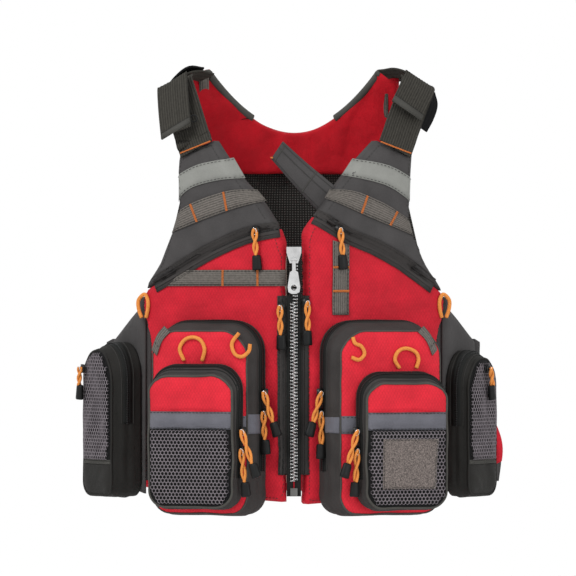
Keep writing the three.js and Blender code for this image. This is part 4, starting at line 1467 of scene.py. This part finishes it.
# ---- Shoulders ----
# Places are (distance to the middle, y, z). Each piece over the shoulder has its route, width and look.
SHOULDERS = {
    "right": {
        "lower": [(134, -70.5, 500), (136, -66, 506), (138, -61, 512)],
        "upper": [(139, -59, 515), (153, -28, 560), (161, -9, 585), (160, 0, 590)],
        "flap": [(164, -17, 590), (166, -26, 586), (164, -48, 556), (160, -71, 519)],
        "across": (46, 20, -18),
        "flap_across": (40, 10, -24),
        "flap_width": 46,
        "over": {
            "loop": ([(160, 4, 586), (148, 14, 594), (134, 24, 597), (121, 32, 595)], (4, 21, -6), 44, STRAP),
            "underside": ([(181, 14, 568), (166, 18, 588), (148, 22, 602), (130, 28, 601)],
                          (4, 21, -8), 42, LINING),
        },
    },
    "left": {
        "lower": [(139, -69.5, 500), (144, -61, 514), (148, -53, 526)],
        "upper": [(149, -51, 529), (160, -30, 558), (170, -10, 584), (168, 0, 590)],
        "flap": [(171, -17, 592), (172, -26, 587), (162, -48, 566), (153, -58, 548)],
        "across": (48, 20, -18),
        "flap_across": (36, 10, -25),
        "flap_width": 48,
        "over": {
            "loop": ([(168, 4, 587), (156, 14, 595), (142, 24, 599), (126, 32, 598)], (4, 21, -7), 46, STRAP),
            "tail": ([(172, -22, 526), (181, -16, 543), (186, -8, 560), (183, 2, 576)],
                     (20, 8, -10), 24, LINING),
        },
    },
}


def shoulder(name):
    """The webbing from a front to the back, its folded end, and the pieces over the shoulder."""
    spec, side = SHOULDERS[name], SIDES[name]
    mirror = lambda points: [Vector((side * x, y, z)) for x, y, z in points]
    wide = lambda v: Vector((side * v[0], v[1], v[2]))
    lower, upper = mirror(spec["lower"]), mirror(spec["upper"])
    tail = lower[0] + (lower[0] - lower[1]).normalized() * 5
    path = spline([tail, *lower, *upper[1:]], 50)
    obj = ribbed(f"shoulder_webbing_{name}", path, wide(spec["across"]), 50, 2.5, STRAP)
    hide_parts(f"shoulder_webbing_lower_{name}", f"shoulder_webbing_upper_{name}")
    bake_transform(obj)
    flap = ribbed(f"shoulder_strap_end_{name}_webbing", spline(mirror(spec["flap"]), 26),
                  wide(spec["flap_across"]), spec["flap_width"], 2.5, STRAP)
    for part, (route, across, width, material) in spec["over"].items():
        line = spline(mirror(route), 20)
        wear(ribbed(f"shoulder_{part}_{name}", line, wide(across), width, 2.2, material), "back", "webbing")
    shoulder_stitches(name, path, wide(spec["across"]).normalized())
    strap_hem(name, mirror(spec["flap"]), wide(spec["flap_across"]).normalized(), spec["flap_width"])
    wear(flap, f"strap_end_{name}", "webbing", f"shoulder_strap_end_{name}")


def facing_front(run, across):
    """The way out of a strap's front side."""
    normal = run.cross(across).normalized()
    return normal if normal.y < 0 else -normal


def shoulder_stitches(name, path, across):
    """The orange line that sews the webbing's lower end down."""
    run = (path[2] - path[1]).normalized()
    out = facing_front(run, across)
    line = [path[2] + across * (-24 + 48 * i / 30) + out * 2.1 for i in range(31)]
    parts = [block(a.lerp(b, 0.5), (1.5, 1.1, 2.2), (across, out, run)) for a, b in zip(line, line[1:])]
    wear(build(f"shoulder_orange_line_{name}", *merged(parts), TACK), f"front_{name}", "orange_cord")


def strap_hem(name, flap, across, width):
    """The strap end's folded and sewn hem."""
    path = spline(flap, 26)
    run = (path[-1] - path[-3]).normalized()
    out = facing_front(run, across)
    hem = block(path[-1] - run * 4 + out * 1.6, (width + 0.6, 3.4, 9), (across, out, run), 0.3)
    wear(build(f"strap_end_hem_{name}", *hem, BINDING), f"strap_end_{name}", "webbing")
    line = [path[-1] - run * 9.5 + across * (-width / 2 + width * i / 16) + out * 1.9 for i in range(17)]
    parts = [block(a.lerp(b, 0.5), (2.0, 0.7, 0.7), (across, out, run)) for a, b in zip(line, line[1:])]
    wear(build(f"strap_end_stitches_{name}", *merged(parts), THREAD), f"strap_end_{name}", "webbing")


NECK_STRAP = {"lower": [(59, -90, 442), (18, -83, 476), (-15, -76, 506)],
              "upper": [(32, -86, 411), (-1, -80, 447), (-31, -73, 482)]}


def neck_strap():
    """A flat doubled strap that narrows towards its sewn upper end."""
    one, other = (spline(NECK_STRAP[edge], 31) for edge in ("lower", "upper"))
    out = Vector((0, -1, 0))

    def place(u, v, height):
        i = round(u * 30)
        puff = math.sin(math.pi * v) ** 0.5
        return one[i].lerp(other[i], v) + out * (height * puff + 0.6 * folds(u * 90, v * 30, 18, 2))

    outer, quads = grid(30, 8, lambda u, v: place(u, v, 2.6))
    inner, _ = grid(30, 8, lambda u, v: place(u, v, -2.0) + Vector((0, 1, 0)))
    points, faces = two_skins(outer, inner, quads)
    uvs = [(j * 4, i * 3) for j in range(9) for i in range(31)] * 2
    wear(build("neck_strap_webbing", points, faces, DARK, uvs=uvs), "neck_strap", "dark_fabric", "neck_strap")
    for row, v in enumerate((0.1, 0.36, 0.9)):
        line = [place(i / 30, v, 2.6) + out * 0.4 for i in range(31)]
        rope(f"neck_strap_seam_{row}", line, 0.5, THREAD, "neck_strap", "dark_fabric")
    for row, u in enumerate((0.35, 0.94)):
        line = [place(round(u * 30) / 30, j / 10, 2.6) + out * 0.4 for j in range(11)]
        rope(f"neck_strap_hem_{row}", line, 0.6, BINDING, "neck_strap", "dark_fabric")
    end = place(1, 0.94, 2.6)
    tack = block(end + out, (4, 2, 2.4))
    wear(build("neck_strap_tack", *tack, TACK), "neck_strap", "orange_cord")


# ---- Floor and light ----
LAMPS = [("key", (-1.3, -1.6, 2.0), 32, 0.7), ("fill", (1.7, -2.0, 0.8), 17, 1.4)]  # place, power, size
LIT_POINT = Vector((0, 0, 0.3))


def studio():
    """A pale floor below the jacket, a white world and two soft lamps."""
    mesh = bpy.data.meshes.new("floor")
    half, level = 0.8, -0.12
    corners = [(-half, -half, level), (half, -half, level), (half, half, level), (-half, half, level)]
    mesh.from_pydata(corners, [], [(0, 1, 2, 3)])
    floor = bpy.data.objects.new("floor", mesh)
    pale = Nodes("floor", 0.9)
    mesh.materials.append(pale.finish(pale.ramp(pale.noise(300), [(0.3, (0.93,) * 3), (0.7, (0.95,) * 3)]),
                                      pale.noise(4), 0.01))
    bpy.context.scene.collection.objects.link(floor)
    world = bpy.data.worlds.new("studio")
    world.use_nodes = True
    world.node_tree.nodes["Background"].inputs["Color"].default_value = (1, 1, 1, 1)
    world.node_tree.nodes["Background"].inputs["Strength"].default_value = 1.0
    bpy.context.scene.world = world
    for name, place, power, size in LAMPS:
        data = bpy.data.lights.new(name, "AREA")
        data.energy, data.size = power, size
        lamp = bpy.data.objects.new(name, data)
        lamp.location = place
        lamp.rotation_euler = (LIT_POINT - Vector(place)).to_track_quat("-Z", "Y").to_euler()
        bpy.context.scene.collection.objects.link(lamp)
    bpy.context.scene.view_settings.view_transform = "Standard"


# ---- The whole jacket ----
PULLS = ("main_pocket_upper", "main_pocket_lower", "small_pocket_upper", "small_pocket_lower", "chest_zip",
         "welt_zip")

for name, face in FRONT.items():
    front = Front(name)
    front.build()
    front_strips(front)
    chest = [Vector((p.x, p.y - 4)) for p in front.seam if p.x < front.seam[-1].x - 11]
    chest.insert(0, chest[0] + (chest[0] - chest[2]).normalized() * 5)
    surface_zip(f"chest_zip_{name}", chest, face, front.depth, 11, f"front_{name}")
    welt = [Vector((face.seen(15.5, 0)[0], z)) for z in (54, 296)]
    surface_zip(f"welt_zip_{name}", welt, face, front.depth, 5.5, f"front_{name}")
    sewn_cords(front, main_pocket(name))
    small = small_pocket(name)
    if name == "left":
        hook_patch(small)
    side(name)
    side_seam(name, front)
    shoulder(name)
    for kind in PULLS:
        zip_pull(f"{kind}_pull_{name}", face, f"{kind}_pull_{name}")
    zip_pull(f"side_pocket_pull_{name}", SIDE[name], f"side_pocket_pull_{name}", SIDE_SWELL)
main_zip()
cad_shapes()
yoke()
back()
neck_strap()
studio()
